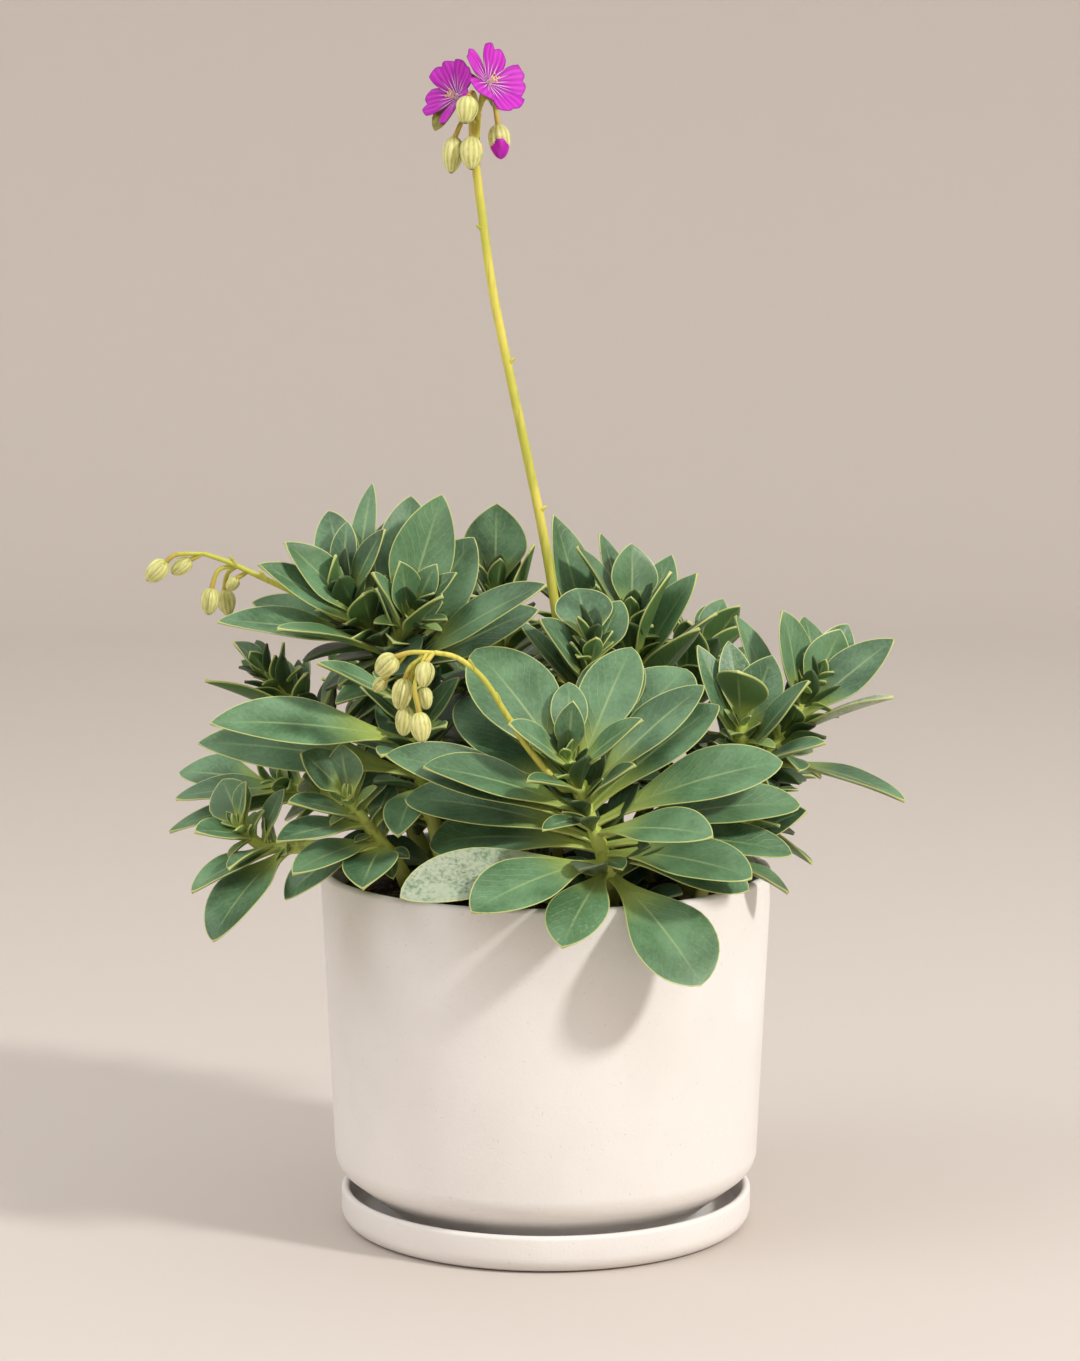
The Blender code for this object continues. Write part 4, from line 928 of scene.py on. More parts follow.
# Each leafy stem stands in the soil at its foot and runs through its route to a
# crown. A leaf in the list is the place of its tip and its width, from the lowest
# on the stem to the highest. Fill leaves follow the golden angle.
leafyStems = [
    {
        "name": "stem_front", "foot": (34, -86), "radius": (5.6, 3.4),
        "axes": [
            {
                "route": [(33, -96, 215), (25, -99, 240), (11, -100, 276)],
                "facing": (0.0, -0.55, 0.83), "crown": 66, "blunt": True, "fill": 3, "fillLength": 34,
                "leaves": [
                    (80, -142, 160, 46), (8, -158, 188, 32), (-76, -142, 211, 36), (-40, -160, 200, 36),
                    (106, -128, 212, 26), (107, -140, 221, 34), (-62, -84, 228, 34), (130, -100, 226, 28),
                    (-75, -92, 254, 36), (135, -88, 250, 32), (86, -150, 245, 30), (-84, -118, 282, 34),
                    (125, -98, 275, 36), (-2, -138, 246, 12), (-64, -130, 278, 32), (92, -84, 303, 34),
                    (-47, -60, 302, 46), (46, -136, 280, 17), (84, -80, 313, 28), (81, -56, 320, 44),
                    (-13, -141, 275, 14), (-38, -62, 330, 48), (46, -60, 331, 33), (30, -40, 327, 36),
                    (50, -124, 302, 20), (-23, -120, 300, 24), (12, -74, 314, 20), (14, -106, 309, 17),
                ],
            },
        ],
    },
    {
        "name": "stem_left_top", "foot": (-30, -26), "radius": (6.0, 4.0),
        "axes": [
            {
                "route": [(-40, -28, 230), (-68, -34, 290), (-82, -37, 326), (-70, -44, 350)],
                "facing": (0.15, -0.6, 0.8), "crown": 44, "fill": 6, "fillLength": 50,
                "leaves": [
                    (-4, -50, 350, 28), (0, -76, 367, 30), (-39, -22, 386, 36), (-66, -6, 406, 34),
                    (-56, -28, 410, 35), (-55, -78, 361, 22), (-92, -72, 373, 17), (-78, -56, 377, 20),
                    (-48, -56, 371, 14), (-61, -50, 376, 15),
                ],
            },
            {
                "route": [(-76, -35, 312), (-94, -26, 334), (-112, -26, 356)],
                "facing": (-0.3, -0.55, 0.8), "crown": 42, "fill": 4, "fillLength": 40,
                "leaves": [
                    (-142, -88, 345, 22), (-175, -68, 346, 28), (-160, -20, 350, 24), (-162, -50, 366, 25),
                    (-98, -60, 360, 20), (-152, -36, 378, 26), (-84, 4, 394, 16), (-95, 4, 413, 15),
                    (-119, 2, 398, 25), (-87, -34, 392, 18), (-108, -14, 394, 16), (-116, -44, 379, 18),
                ],
            },
        ],
    },
    {
        "name": "stem_left_middle", "foot": (-52, -52), "radius": (5.2, 3.4),
        "axes": [
            {
                "route": [(-58, -56, 225), (-68, -62, 265), (-72, -64, 300)],
                "facing": (-0.2, -0.6, 0.75), "crown": 40, "fill": 8, "fillLength": 60,
                "leaves": [(-186, -72, 281, 33), (-176, -112, 298, 35), (-120, -104, 329, 17)],
            },
            {
                "route": [(-62, -58, 240), (-110, -40, 246), (-148, -30, 250)],
                "facing": (-0.4, -0.45, 0.8), "crown": 34, "fill": 6, "fillLength": 40,
                "leaves": [(-205, -40, 227, 17), (-201, -44, 246, 24), (-201, -22, 260, 28)],
            },
        ],
    },
    {
        "name": "stem_left_low", "foot": (-72, -56), "radius": (5.2, 3.2),
        "axes": [
            {
                "route": [(-80, -64, 214), (-93, -75, 234), (-107, -82, 254)],
                "facing": (-0.15, -0.55, 0.85), "crown": 38, "fill": 5, "fillLength": 22,
                "leaves": [
                    (-96, -128, 213, 30), (-134, -112, 213, 24), (-139, -92, 200, 24), (-82, -66, 258, 20),
                    (-142, -112, 235, 22), (-136, -106, 255, 21), (-88, -62, 270, 18), (-96, -52, 272, 18),
                    (-109, -72, 281, 21), (-134, -88, 276, 27),
                ],
            },
            {
                "route": [(-88, -70, 224), (-128, -68, 224), (-151, -68, 224), (-165, -72, 236)],
                "facing": (-0.45, -0.5, 0.75), "crown": 34, "fill": 5, "fillLength": 22,
                "leaves": [
                    (-176, -114, 182, 36), (-188, -102, 206, 23), (-166, -106, 212, 15), (-140, -70, 256, 15),
                    (-187, -88, 236, 25), (-174, -58, 259, 26), (-160, -76, 261, 15),
                ],
            },
        ],
    },
    {
        "name": "stem_left_back", "foot": (-62, 4), "radius": (5.0, 3.2),
        "axes": [
            {
                "route": [(-80, 6, 230), (-120, 4, 275), (-152, 0, 306)],
                "facing": (-0.5, -0.1, 0.85), "crown": 46, "fill": 11, "fillLength": 48,
                "leaves": [(-186, -22, 308, 20), (-172, 0, 326, 22)],
            },
        ],
    },
    {
        "name": "stem_centre", "foot": (26, -34), "radius": (5.2, 3.4),
        "axes": [
            {
                "route": [(26, -38, 230), (24, -44, 290), (24, -46, 330)],
                "facing": (0.05, -0.35, 0.93), "crown": 48, "fill": 10, "fillLength": 44,
                "leaves": [
                    (-15, -68, 330, 20), (-17, -52, 342, 16), (2, -72, 343, 34), (41, -28, 352, 24),
                    (17, -22, 358, 32),
                ],
            },
        ],
    },
    {
        "name": "stem_back_centre", "foot": (-14, 22), "radius": (5.2, 3.4),
        "axes": [
            {
                "route": [(-16, 20, 240), (-24, 14, 300), (-28, 12, 350)],
                "facing": (0.0, -0.1, 1.0), "crown": 52, "fill": 10, "fillLength": 54,
                "leaves": [(-7, 2, 380, 26), (-15, 24, 384, 22), (-31, 12, 401, 36)],
            },
        ],
    },
    {
        "name": "stem_back_right", "foot": (36, 8), "radius": (5.4, 3.4),
        "axes": [
            {
                "route": [(40, 8, 240), (46, 6, 295), (46, 4, 336)],
                "facing": (0.25, -0.2, 0.95), "crown": 50, "fill": 8, "fillLength": 48,
                "leaves": [
                    (83, -34, 338, 26), (93, -15, 344, 26), (83, 0, 364, 30), (68, -8, 366, 28),
                    (70, 28, 371, 24), (30, 28, 383, 22), (17, -2, 379, 22), (47, 14, 379, 30),
                ],
            },
            {
                "route": [(42, 8, 280), (22, 14, 320), (10, 14, 346)],
                "facing": (-0.1, -0.2, 0.97), "crown": 36, "fill": 7, "fillLength": 46,
                "leaves": [(4, 12, 395, 28)],
            },
        ],
    },
    {
        "name": "stem_right", "foot": (76, -26), "radius": (5.6, 3.6),
        "axes": [
            {
                "route": [(88, -26, 228), (124, -24, 268), (147, -12, 303)],
                "facing": (0.5, -0.3, 0.8), "crown": 50, "fill": 6, "fillLength": 40,
                "leaves": [
                    (193, -62, 248, 24), (136, -64, 265, 20), (104, -4, 341, 24), (187, -50, 303, 22),
                    (190, -20, 330, 28), (129, -14, 345, 38), (163, -16, 334, 28), (167, 12, 334, 22),
                    (145, 10, 340, 22),
                ],
            },
            {
                "route": [(100, -28, 246), (106, -38, 266), (106, -40, 288)],
                "facing": (0.1, -0.45, 0.88), "crown": 34, "fill": 5, "fillLength": 26,
                "leaves": [
                    (155, -78, 280, 20), (141, -60, 313, 20), (82, -30, 328, 20), (123, -32, 323, 28),
                    (98, -20, 328, 20), (102, -78, 321, 30),
                ],
            },
        ],
    },
    {
        "name": "stem_right_low", "foot": (82, -58), "radius": (4.8, 3.0),
        "axes": [
            {
                "route": [(92, -60, 214), (108, -62, 236), (116, -62, 252)],
                "facing": (0.4, -0.3, 0.86), "crown": 36, "fill": 9, "fillLength": 42,
                "leaves": [(140, -66, 243, 30)],
            },
        ],
    },
]
rear = {
    # compass direction of each stem behind, with 0 degrees to the right, its crown's height and reach
    "fan": [(8, 268, 122), (36, 312, 108), (66, 322, 84), (92, 280, 118), (120, 316, 88), (150, 288, 114)],
    "footReach": 60.0,
    "lean": 4,                      # how far a stem leans out at the rim
    "sway": (0.45, 0.55),           # shares of the foot's and the crown's reach at its middle
    "rise": 0.55,
    "facing": (0.45, 0.85),         # outwards and up
    "radius": (5.0, 3.2),
    "base": 190,
    "near": 214,
    "crown": 62,
    "fill": 11,
    "leaf": 80.0,
}


def fineOutline(t, neck, blunt, young):
    # the same outline, with a small point, and longer and more pointed on young leaves
    peak = leaf["bluntPeak"] - leaf["youngShift"] * young if blunt else leaf["spearPeak"]
    s = np.clip(t / peak, 0, 1)
    low = neck * 0.8 + (1 - neck * 0.8) * (s * s * (3 - 2 * s)) ** leaf["taper"]
    s = np.clip((t - peak) / (1 - peak), 0, 1)
    full, square = leaf["spoonCurve"]
    spear = 1 - s ** leaf["spearCurve"]
    spoon = (1 - s**full) ** square
    least, most = leaf["oldPoint" if blunt else "spearPoint"]
    pointed = least + (most - least) * young
    return np.where(t < peak, low, spear * pointed + spoon * (1 - pointed))


def bladeHeight(u, t, half, width, upper, draw):
    # how far each point of a leaf lies over its midline, and how far it leans
    plump = np.maximum(1 - u * u, 0) ** 0.6
    thick = bladeThick(t) * np.clip(width / leaf["fullThickWidth"], 0.45, 1.0)
    dip = leaf["ribDip"] * np.exp(-((u * half / leaf["ribHalf"]) ** 2)) * (1 - t)
    above = leaf["above"] * thick * plump - dip
    below = leaf["below"] * thick * plump
    rim = leaf["edge"] * (1.2 - 0.5 * t)
    height = bladeFold(width) * half * np.abs(u) ** leaf["foldCurve"]
    height = height + np.where(upper, above + rim / 2, -below - rim / 2)
    phase, pace = draw.uniform(0, 6.28), draw.uniform(*leaf["wavePace"])
    ripple = np.sin(t * pace + phase + u * 0.8) * u * u * t
    height = height + leaf["wave"] * ripple * min(1.0, width / leaf["fullWaveWidth"])
    return height, math.radians(draw.uniform(-leaf["twist"], leaf["twist"])) * t


def rimDistance(u, t, half, widest, length, outline):
    # how far each point lies from the leaf's rim, square to it
    shares = np.linspace(0, 1, 40)
    slope = np.gradient(widest * outline(shares), length * shares[1])
    tilt = np.interp(t, shares, 1 / np.sqrt(1 + slope**2))
    return (1 - np.abs(u)) * half * tilt


def layLeaf(name, template, placed, draw, finish, dry=0.0):
    # one leaf: a copy of the template, laid along its own arch, folded, waved and thickened
    sheet, flat = template
    root, tip, width, facing, blunt, kind = placed
    ahead, side, start, rise, bend, turn = (np.array(v) for v in bladeFrame(root, tip, facing))
    length = (tip - root).length
    u = np.sin(flat[:, 0] * math.pi / 2)
    t = 1 - (1 - flat[:, 1]) ** leaf["tipCrowding"]
    neck = bladeNeck(width)
    young = min(1.0, max(0.0, float(ahead @ np.array(facing.normalized())) * leaf["youngGain"]))
    half = np.maximum(width / 2 * fineOutline(t, neck, blunt, young), leaf["tipHalf"])
    angle = bend * t
    normal = np.outer(np.cos(angle), rise) + np.outer(np.sin(angle), start)
    middle = np.array(root) + turn * (np.outer(np.sin(angle), start) - np.outer(1 - np.cos(angle), rise))
    height, lean = bladeHeight(u, t, half, width, flat[:, 2] > 0, draw)
    offset = u * half
    sideways = offset * np.cos(lean) - height * np.sin(lean)
    lifted = height * np.cos(lean) + offset * np.sin(lean)
    places = middle + np.outer(sideways, side) + normal * lifted[:, None]
    mesh = sheet.data.copy()
    writePlaces(mesh, places * mm)
    least, more = leaf["rimShares"]
    finer = least + more * min(1.0, width / leaf["fullRimWidth"])
    outline = partial(fineOutline, neck=neck, blunt=blunt, young=young)
    rimGap = rimDistance(u, t, half, width / 2, length, outline) / finer
    writeAttribute(mesh, "leafShape", rimGap, np.abs(u) * half, t * length)
    writeAttribute(mesh, "leafLook", draw.random(), flat[:, 2] * 0.5 + 0.5, t)
    # dryness, painted shade on inner leaves, and the young tint with painted glow on heart leaves
    writeAttribute(mesh, "leafWearAndPaintedLight", dry, kind == "inner", kind == "heart")
    return addObject(name, mesh, finish)


canopy = {
    "fillStep": 1.3,                # radians from one stem's first turn to the next one's
    "fillReach": 8,
    "outer": 7,                     # more leaves on each branch than the frame's solids hold
    "rear": 7,
    "outerLength": 0.85,
    "outerReach": 4,
    "outerTurn": (1.9, 0.9),        # first turn of the first stem, and the step to the next
    "heart": 8,                     # small leaves round each growing tip
    "heartLength": 21.0,
    "heartReach": 12.0,
    "heartRise": 72,
    "heartTurn": (0.7, 2.1),
    # leaves further down each branch, which fill the inside: first turn, length and reach down the stem
    "inner": [(2.6, 54, 110), (0.4, 46, 90), (4.1, 40, 120)],
    "innerCount": 8,
    "innerFrom": 40,                # branches with a shorter crown have no inner leaves
    "innerStep": 1.7,
    "bigLeaf": 34.0,                # longer leaves get the finer template
    "dryShare": 0.08,
    "scuffed": {("stem_front", 2): 1.0, ("stem_front", 1): 0.74},
    "keepClear": [
        "stalk_tall", "opening_bud_petals", "bloom_left_petals", "bloom_left_stamens",
        "bloom_right_petals", "bloom_right_stamens", "stalk_left", "stalk_front", "soil",
    ],
}


def rearStems():
    # the stems behind fan out by rule
    made = []
    for i, (heading, height, reach) in enumerate(rear["fan"]):
        a = math.radians(heading)
        out = Vector((math.cos(a), math.sin(a), 0.0))
        foot, base = out * rear["footReach"], rear["base"]
        middle = out * (rear["footReach"] * rear["sway"][0] + reach * rear["sway"][1])
        middle.z = base + (height - base) * rear["rise"]
        near = out * (rear["footReach"] + rear["lean"]) + Vector((0, 0, rear["near"]))
        crown = out * reach + Vector((0, 0, height))
        axis = {
            "route": [tuple(near), tuple(middle), tuple(crown)],
            "facing": (out.x * rear["facing"][0], out.y * rear["facing"][0], rear["facing"][1]),
            "crown": rear["crown"],
            "blunt": i % 2 == 1,
            "leaves": [],
            "fill": rear["fill"],
            "fillLength": rear["leaf"],
        }
        foot = (round(foot.x), round(foot.y))
        made.append({"name": f"stem_rear_{i + 1}", "foot": foot, "radius": rear["radius"], "axes": [axis]})
    return made


def stemRadii(spec, number):
    thick, thin = spec["radius"]
    return (thick, thin) if number == 0 else ((thick + thin) / 2, thin)


def smallLeaves(order, axis, extra):
    # the rounds of leaves that the solids leave out, as what fillBlades is given
    crown, rise = axis["crown"], leaf["highRise"]
    first, step = canopy["heartTurn"]
    length, reach = canopy["heartLength"], canopy["heartReach"]
    rounds = [(first + order * step, canopy["heart"], length, reach, "heart", canopy["heartRise"])]
    first, step = canopy["outerTurn"]
    length, reach = axis["fillLength"] * canopy["outerLength"], crown + canopy["outerReach"]
    rounds.append((first + order * step, extra, length, reach, "outer", rise))
    if crown >= canopy["innerFrom"]:
        for first, length, reach in canopy["inner"]:
            turn = first + order * canopy["innerStep"]
            rounds.append((turn, canopy["innerCount"], length, reach, "inner", rise))
    return rounds


def growFoliage():
    # first the leaves of the frame's solids, in their order, then the small ones between them
    specs = leafyStems + rearStems()
    space = Space()
    space.addNode("pot")
    branches = []
    for order, spec in enumerate(specs):
        for number, axis in enumerate(spec["axes"]):
            path = axisPath(spec, number, stem["testSpacing"])
            space.add(spec["name"], *testTube(path, *stemRadii(spec, number)))
            branches.append((order, spec["name"], axis, path))
    for name in canopy["keepClear"]:
        space.addNode(name)
    blades = {spec["name"]: [] for spec in specs}
    for order, owner, axis, path in branches:
        blades[owner] += signatureBlades(space, owner, axis, path)
    for order, owner, axis, path in branches:
        turn, reach = order * canopy["fillStep"], axis["crown"] + canopy["fillReach"]
        blades[owner] += fillBlades(space, owner, axis, path, turn, axis["fill"], axis["fillLength"], reach)
    print("leaves of the frame:", sum(len(b) for b in blades.values()))
    for order, owner, axis, path in branches:
        extra = canopy["rear" if owner.startswith("stem_rear") else "outer"]
        for settings in smallLeaves(order, axis, extra):
            blades[owner] += fillBlades(space, owner, axis, path, *settings)
    print("leaves in all:", sum(len(b) for b in blades.values()))
    return specs, blades


def makeFoliage():
    blade, bark = leafFinish(), stemFinish()
    specs, blades = growFoliage()
    large, small = bladeTemplate("leafLarge", 10, 18), bladeTemplate("leafSmall", 6, 10)
    for order, spec in enumerate(specs):
        draw = random.Random(order + 3)
        parts = []
        for number in range(len(spec["axes"])):
            path = axisPath(spec, number, stem["spacing"])
            parts.append(tube(f"axis{number}", path, *stemRadii(spec, number), bark, knots=stem["knots"]))
        for i, placed in enumerate(blades[spec["name"]]):
            template = large if (placed[1] - placed[0]).length > canopy["bigLeaf"] else small
            dry = draw.random() if draw.random() < canopy["dryShare"] else 0.0
            dry = canopy["scuffed"].get((spec["name"], i), dry)
            parts.append(layLeaf(f"leaf{i}", template, placed, draw, blade, dry))
        piece = joinPieces(spec["name"].replace("stem", "leafyStem"), parts)
        finishPiece(piece, spec["name"])
    for template in (large, small):
        bpy.data.objects.remove(template[0], do_unlink=True)


# Flower stalks and buds

stalk = {
    "tallFoot": (6, -8),
    "tallRoute": [
        (8, -9, 260), (9, -10, 310), (6, -10, 340), (-1, -10, 384), (-10, -10, 428),
        (-21, -10, 480), (-29, -10, 520), (-34, -10, 556), (-38, -10, 590), (-37, -11, 614),
    ],
    "tallRadius": (2.9, 2.3),
    "tallBracts": [(0.52, 1), (0.70, 1), (0.86, -1)],
    "tallBractLength": 6.5,
    "sideBracts": (0.45, 0.6, 0.8),
    "sideBractLength": 5.0,
    "sideRadius": (2.0, 1.3),
    "seatRun": 5.0,
    "gap": 0.3,
    "stalkletRadius": (0.99, 1.485),
    "neckRadius": (1.1, 1.54),
    "stalkletBlush": 0.55,          # how reddish a stalklet gets at its bud, and at its bloom
    "neckBlush": 0.2,
    "neckSink": 2.5,
    "bractWidth": 3.2,
    "spacing": 5.0,
    "sideSpacing": 3.0,
    "fineSpacing": 1.6,
    "green": (0.500, 0.500, 0.070),
    "lit": (0.690, 0.620, 0.110),
    "streak": (0.160, 0.230, 0.025),
    "blush": (0.420, 0.170, 0.050),
}
bud = {
    "ribs": 6,
    "ribDepth": 0.035,
    "seams": (0.5, 3.4),            # where the two outer sepals meet, in radians round the bud
    "seamWidth": 0.16,
    "seamDepth": 0.10,
    "slant": 0.35,
    "taper": 0.16,
    "tipPinch": 0.35,
    "tipFrom": 0.9,                 # the height where the point starts, and how long it is
    "tipRun": 0.1,
    "hold": 0.46,                   # share of a bud's length from its middle to its stalklet
    "openLine": (-0.14, 0.36, 1.5),     # where the opening bud's green ends: height, rise and curve
    "underPetals": (0.8, 0.9),      # past that line, its width and height as shares
    "furl": 0.05,                   # how deep the furled petals' ridges are
    "furlLow": -0.12,               # where they start inside the green, and where they fill the bud
    "furlFull": -0.08,
    "furlWidth": (0.70, 0.95),
    "furlHeight": 0.995,
    "pale": (0.740, 0.710, 0.300),
    "green": (0.420, 0.450, 0.110),
    "tip": (0.230, 0.110, 0.040),
    "around": 40,
    "rings": 22,
}


def budAt(centre, length, width, *route):
    # a bud's middle and size, and the route of its stalklet
    return {"centre": centre, "length": length, "width": width, "route": route}


tallBuds = [
    budAt((-42, -45, 616), 15, 12, (-37, -12, 611), (-37, -24, 619), (-39, -36, 625), (-41, -43, 625)),
    budAt((-50, -18, 592), 20, 11, (-38, -11, 609), (-44, -14, 611), (-49, -17, 602)),
    budAt((-40, -24, 593), 18, 12, (-38, -12, 609), (-40, -19, 611), (-40, -23, 603)),
]
openingBud = budAt(
    (-25, -14, 599), 19, 12, (-37, -11, 612), (-33, -12, 622), (-28, -13, 619), (-26, -14, 610)
)
sideStalks = [
    {
        "node": "stalk_left",
        "stem": "stem_left_top",
        "axis": 1,
        "share": 0.8,
        "out": (-0.8, -0.5, 0.0),
        "route": [(-134, -38, 357), (-154, -42, 367), (-170, -45, 375), (-184, -46, 380)],
        "buds": [
            budAt((-196, -46, 373), 13, 9, (-184, -46, 380), (-192, -46, 376)),
            budAt((-209, -50, 371), 15, 11, (-184, -46, 380), (-198, -50, 380), (-204, -50, 376)),
            budAt((-181, -45, 354), 15, 10, (-166, -43, 373), (-176, -44, 371), (-180, -45, 362)),
            budAt((-173, -33, 352), 15, 10, (-166, -43, 373), (-172, -37, 368), (-174, -34, 360)),
            budAt((-169, -42, 363), 9, 7, (-160, -41, 370), (-166, -42, 367)),
        ],
    },
    {
        "node": "stalk_front",
        "stem": "stem_front",
        "axis": 0,
        "share": 0.9,
        "out": (-0.85, -0.5, 0.0),
        "route": [(-10, -114, 286), (-22, -121, 306), (-33, -126, 324), (-46, -129, 335), (-58, -130, 338)],
        "buds": [
            budAt((-83, -128, 331), 14, 12, (-58, -130, 338), (-70, -130, 338), (-78, -129, 336)),
            budAt((-87, -117, 319), 10, 7, (-72, -130, 338), (-80, -122, 328)),
            budAt((-63, -134, 327), 14, 10, (-58, -130, 338), (-62, -133, 335)),
            budAt((-75, -129, 316), 17, 11, (-60, -130, 338), (-70, -129, 331), (-73, -129, 326)),
            budAt((-63, -124, 313), 12, 8, (-60, -130, 338), (-65, -126, 330), (-64, -124, 321)),
            budAt((-74, -118, 300), 16, 10, (-64, -130, 338), (-71, -121, 322), (-73, -119, 309)),
            budAt((-65, -138, 300), 16, 11, (-62, -130, 338), (-68, -136, 322), (-66, -137, 309)),
        ],
    },
]


def stalkFinish():
    made = Finish("flowerStalk", Specular_IOR_Level=0.4)
    blush = made.attribute("stalkLook", 0)
    cloud = made.noise(30.0, 3.0)
    streaks = made.noise(420.0, 2.0, (1.0, 1.0, 0.06))
    base = made.mix(made.ramp(cloud, 0.35, 0.65), stalk["green"], stalk["lit"])
    base = made.mix(made.ramp(streaks, 0.5, 0.7) * 0.3, base, stalk["streak"])
    made.colour(made.mix(blush, base, stalk["blush"]))
    made.roughness(0.40 + streaks * 0.15)
    made.bump(streaks, 0.12)
    return made.material


def budFinish():
    # ribs run from the stalklet to the tip, along the bud's own map
    made = Finish("closedBud", Specular_IOR_Level=0.45, Sheen_Weight=0.05)
    across, lengthwise, seam = (made.attribute("budLook", i) for i in range(3))
    cloud = made.noise(240.0, 3.0)
    around = across * (math.pi * 4 * bud["ribs"]) + cloud * 3.0
    ribs = around.maths("SINE", around)
    shade = made.ramp(ribs * 0.24 + cloud * 1.1, 0.05, 0.80)
    base = made.mix(shade, bud["green"], bud["pale"])
    base = made.mix(made.ramp(lengthwise, 0.30, 0.0) * 0.45, base, bud["green"])
    base = made.mix(seam * 0.5, base, bud["green"])
    made.colour(made.mix(made.ramp(lengthwise, 0.955, 0.985), base, bud["tip"]))
    made.roughness(0.42 + cloud * 0.12)
    made.bump(ribs * 0.4 - seam, 0.18)
    return made.material


def budTemplate():
    # a ribbed egg 1 long and 1 wide, with the seams of its two outer sepals and a small point
    clearSelection()
    bpy.ops.mesh.primitive_uv_sphere_add(segments=bud["around"], ring_count=bud["rings"], radius=1.0)
    shape = bpy.context.object
    looks = []
    for vertex in shape.data.vertices:
        x, y, z = vertex.co
        angle = math.atan2(y, x)
        slant = angle + bud["slant"] * z
        level = math.sqrt(max(0.0, 1 - z * z))
        rib = 1 + bud["ribDepth"] * math.cos(slant * bud["ribs"]) * level
        seam = max(math.exp(-((wrapped(slant - place) / bud["seamWidth"]) ** 2)) for place in bud["seams"])
        fat = (1 - bud["taper"] * z) * rib * (1 - bud["seamDepth"] * seam * level)
        fat *= 1 - bud["tipPinch"] * max(0.0, z - bud["tipFrom"]) / bud["tipRun"]
        vertex.co = (x * fat / 2, y * fat / 2, z / 2)
        looks.append((angle / (2 * math.pi) % 1.0, (z + 1) / 2, seam * level))
    writeAttribute(shape.data, "budLook", *np.array(looks).T)
    bpy.ops.object.shade_smooth()
    return shape


def wrapped(angle):
    return (angle + math.pi) % (2 * math.pi) - math.pi


def hang(spec):
    return (vec(spec["centre"]) - vec(spec["route"][-1])).normalized()


def layBud(name, template, spec, finish, shape=None):
    # a copy of the bud, turned so that its point looks down its stalklet's line
    turn = hang(spec).to_track_quat("Z", "Y").to_matrix().to_4x4()
    size = Matrix.Diagonal((spec["width"], spec["width"], spec["length"], 1))
    made = addObject(name, template.data.copy(), finish)
    if shape:
        for vertex in made.data.vertices:
            vertex.co = shape(vertex.co)
    made.data.transform(Matrix.Scale(mm, 4) @ Matrix.Translation(vec(spec["centre"])) @ turn @ size)
    return made


def greenTube(name, path, startRadius, endRadius, finish, blushes=(0.0, 0.0)):
    piece = tube(name, path, startRadius, endRadius, finish, 3)
    mesh = piece.data
    first, span = path[0] * mm, (path[-1] - path[0]) * mm
    shares = [min(1, max(0, (v.co - first).dot(span) / span.length_squared)) for v in mesh.vertices]
    blush = [blushes[0] + (blushes[1] - blushes[0]) * s**2 for s in shares]
    writeAttribute(mesh, "stalkLook", blush, shares, shares)
    return piece


def stalklet(name, spec, finish):
    # the curved stalklet of a bud, a little reddish where it meets the bud
    top = vec(spec["centre"]) - hang(spec) * spec["length"] * bud["hold"]
    path = smoothPath([vec(p) for p in spec["route"][:-1]] + [top], stalk["fineSpacing"])
    return greenTube(name, path, *stalk["stalkletRadius"], finish, (0.0, stalk["stalkletBlush"]))


def scale(name, root, tip, width, template, finish, facing=(0, 0, 1)):
    placed = (root, tip, width, vec(facing), False, None)
    return layLeaf(name, template, placed, random.Random(5), finish)


def bract(name, path, share, way, length, template, finish):
    # a small pointed scale where a stalk has a joint
    root, ahead = along(path, share)
    tip = root + (ahead + vec(way)).normalized() * length
    return scale(name, root, tip, stalk["bractWidth"], template, finish)


def hangingBuds(specs, template, finishes):
    parts = []
    for i, spec in enumerate(specs):
        parts.append(stalklet(f"stalklet{i}", spec, finishes["stalk"]))
        parts.append(layBud(f"bud{i}", template, spec, finishes["bud"]))
    return parts


def makeSideStalk(spec, template, small, finishes):
    # a nodding stalk that leaves the side of a leafy stem, with its buds
    owner = next(s for s in leafyStems if s["name"] == spec["stem"])
    root, ahead = along(axisPath(owner, spec["axis"], stem["testSpacing"]), spec["share"])
    out = vec(spec["out"])
    out = (out - out.dot(ahead) * ahead).normalized()
    start = root + out * (owner["radius"][1] + stalk["gap"])
    points = [start, start + out * stalk["seatRun"]] + [vec(p) for p in spec["route"]]
    path = smoothPath(points, stalk["sideSpacing"])
    parts = [greenTube("run", path, *stalk["sideRadius"], finishes["stalk"])]
    parts += hangingBuds(spec["buds"], template, finishes)
    for i, share in enumerate(stalk["sideBracts"]):
        length = stalk["sideBractLength"] + share
        parts.append(bract(f"bract{i}", path, share, (0, 0, 1.2), length, small, finishes["stalk"]))
    piece = joinPieces(spec["node"].replace("stalk", "buds"), parts)
    finishPiece(piece, spec["node"])


# Blooms

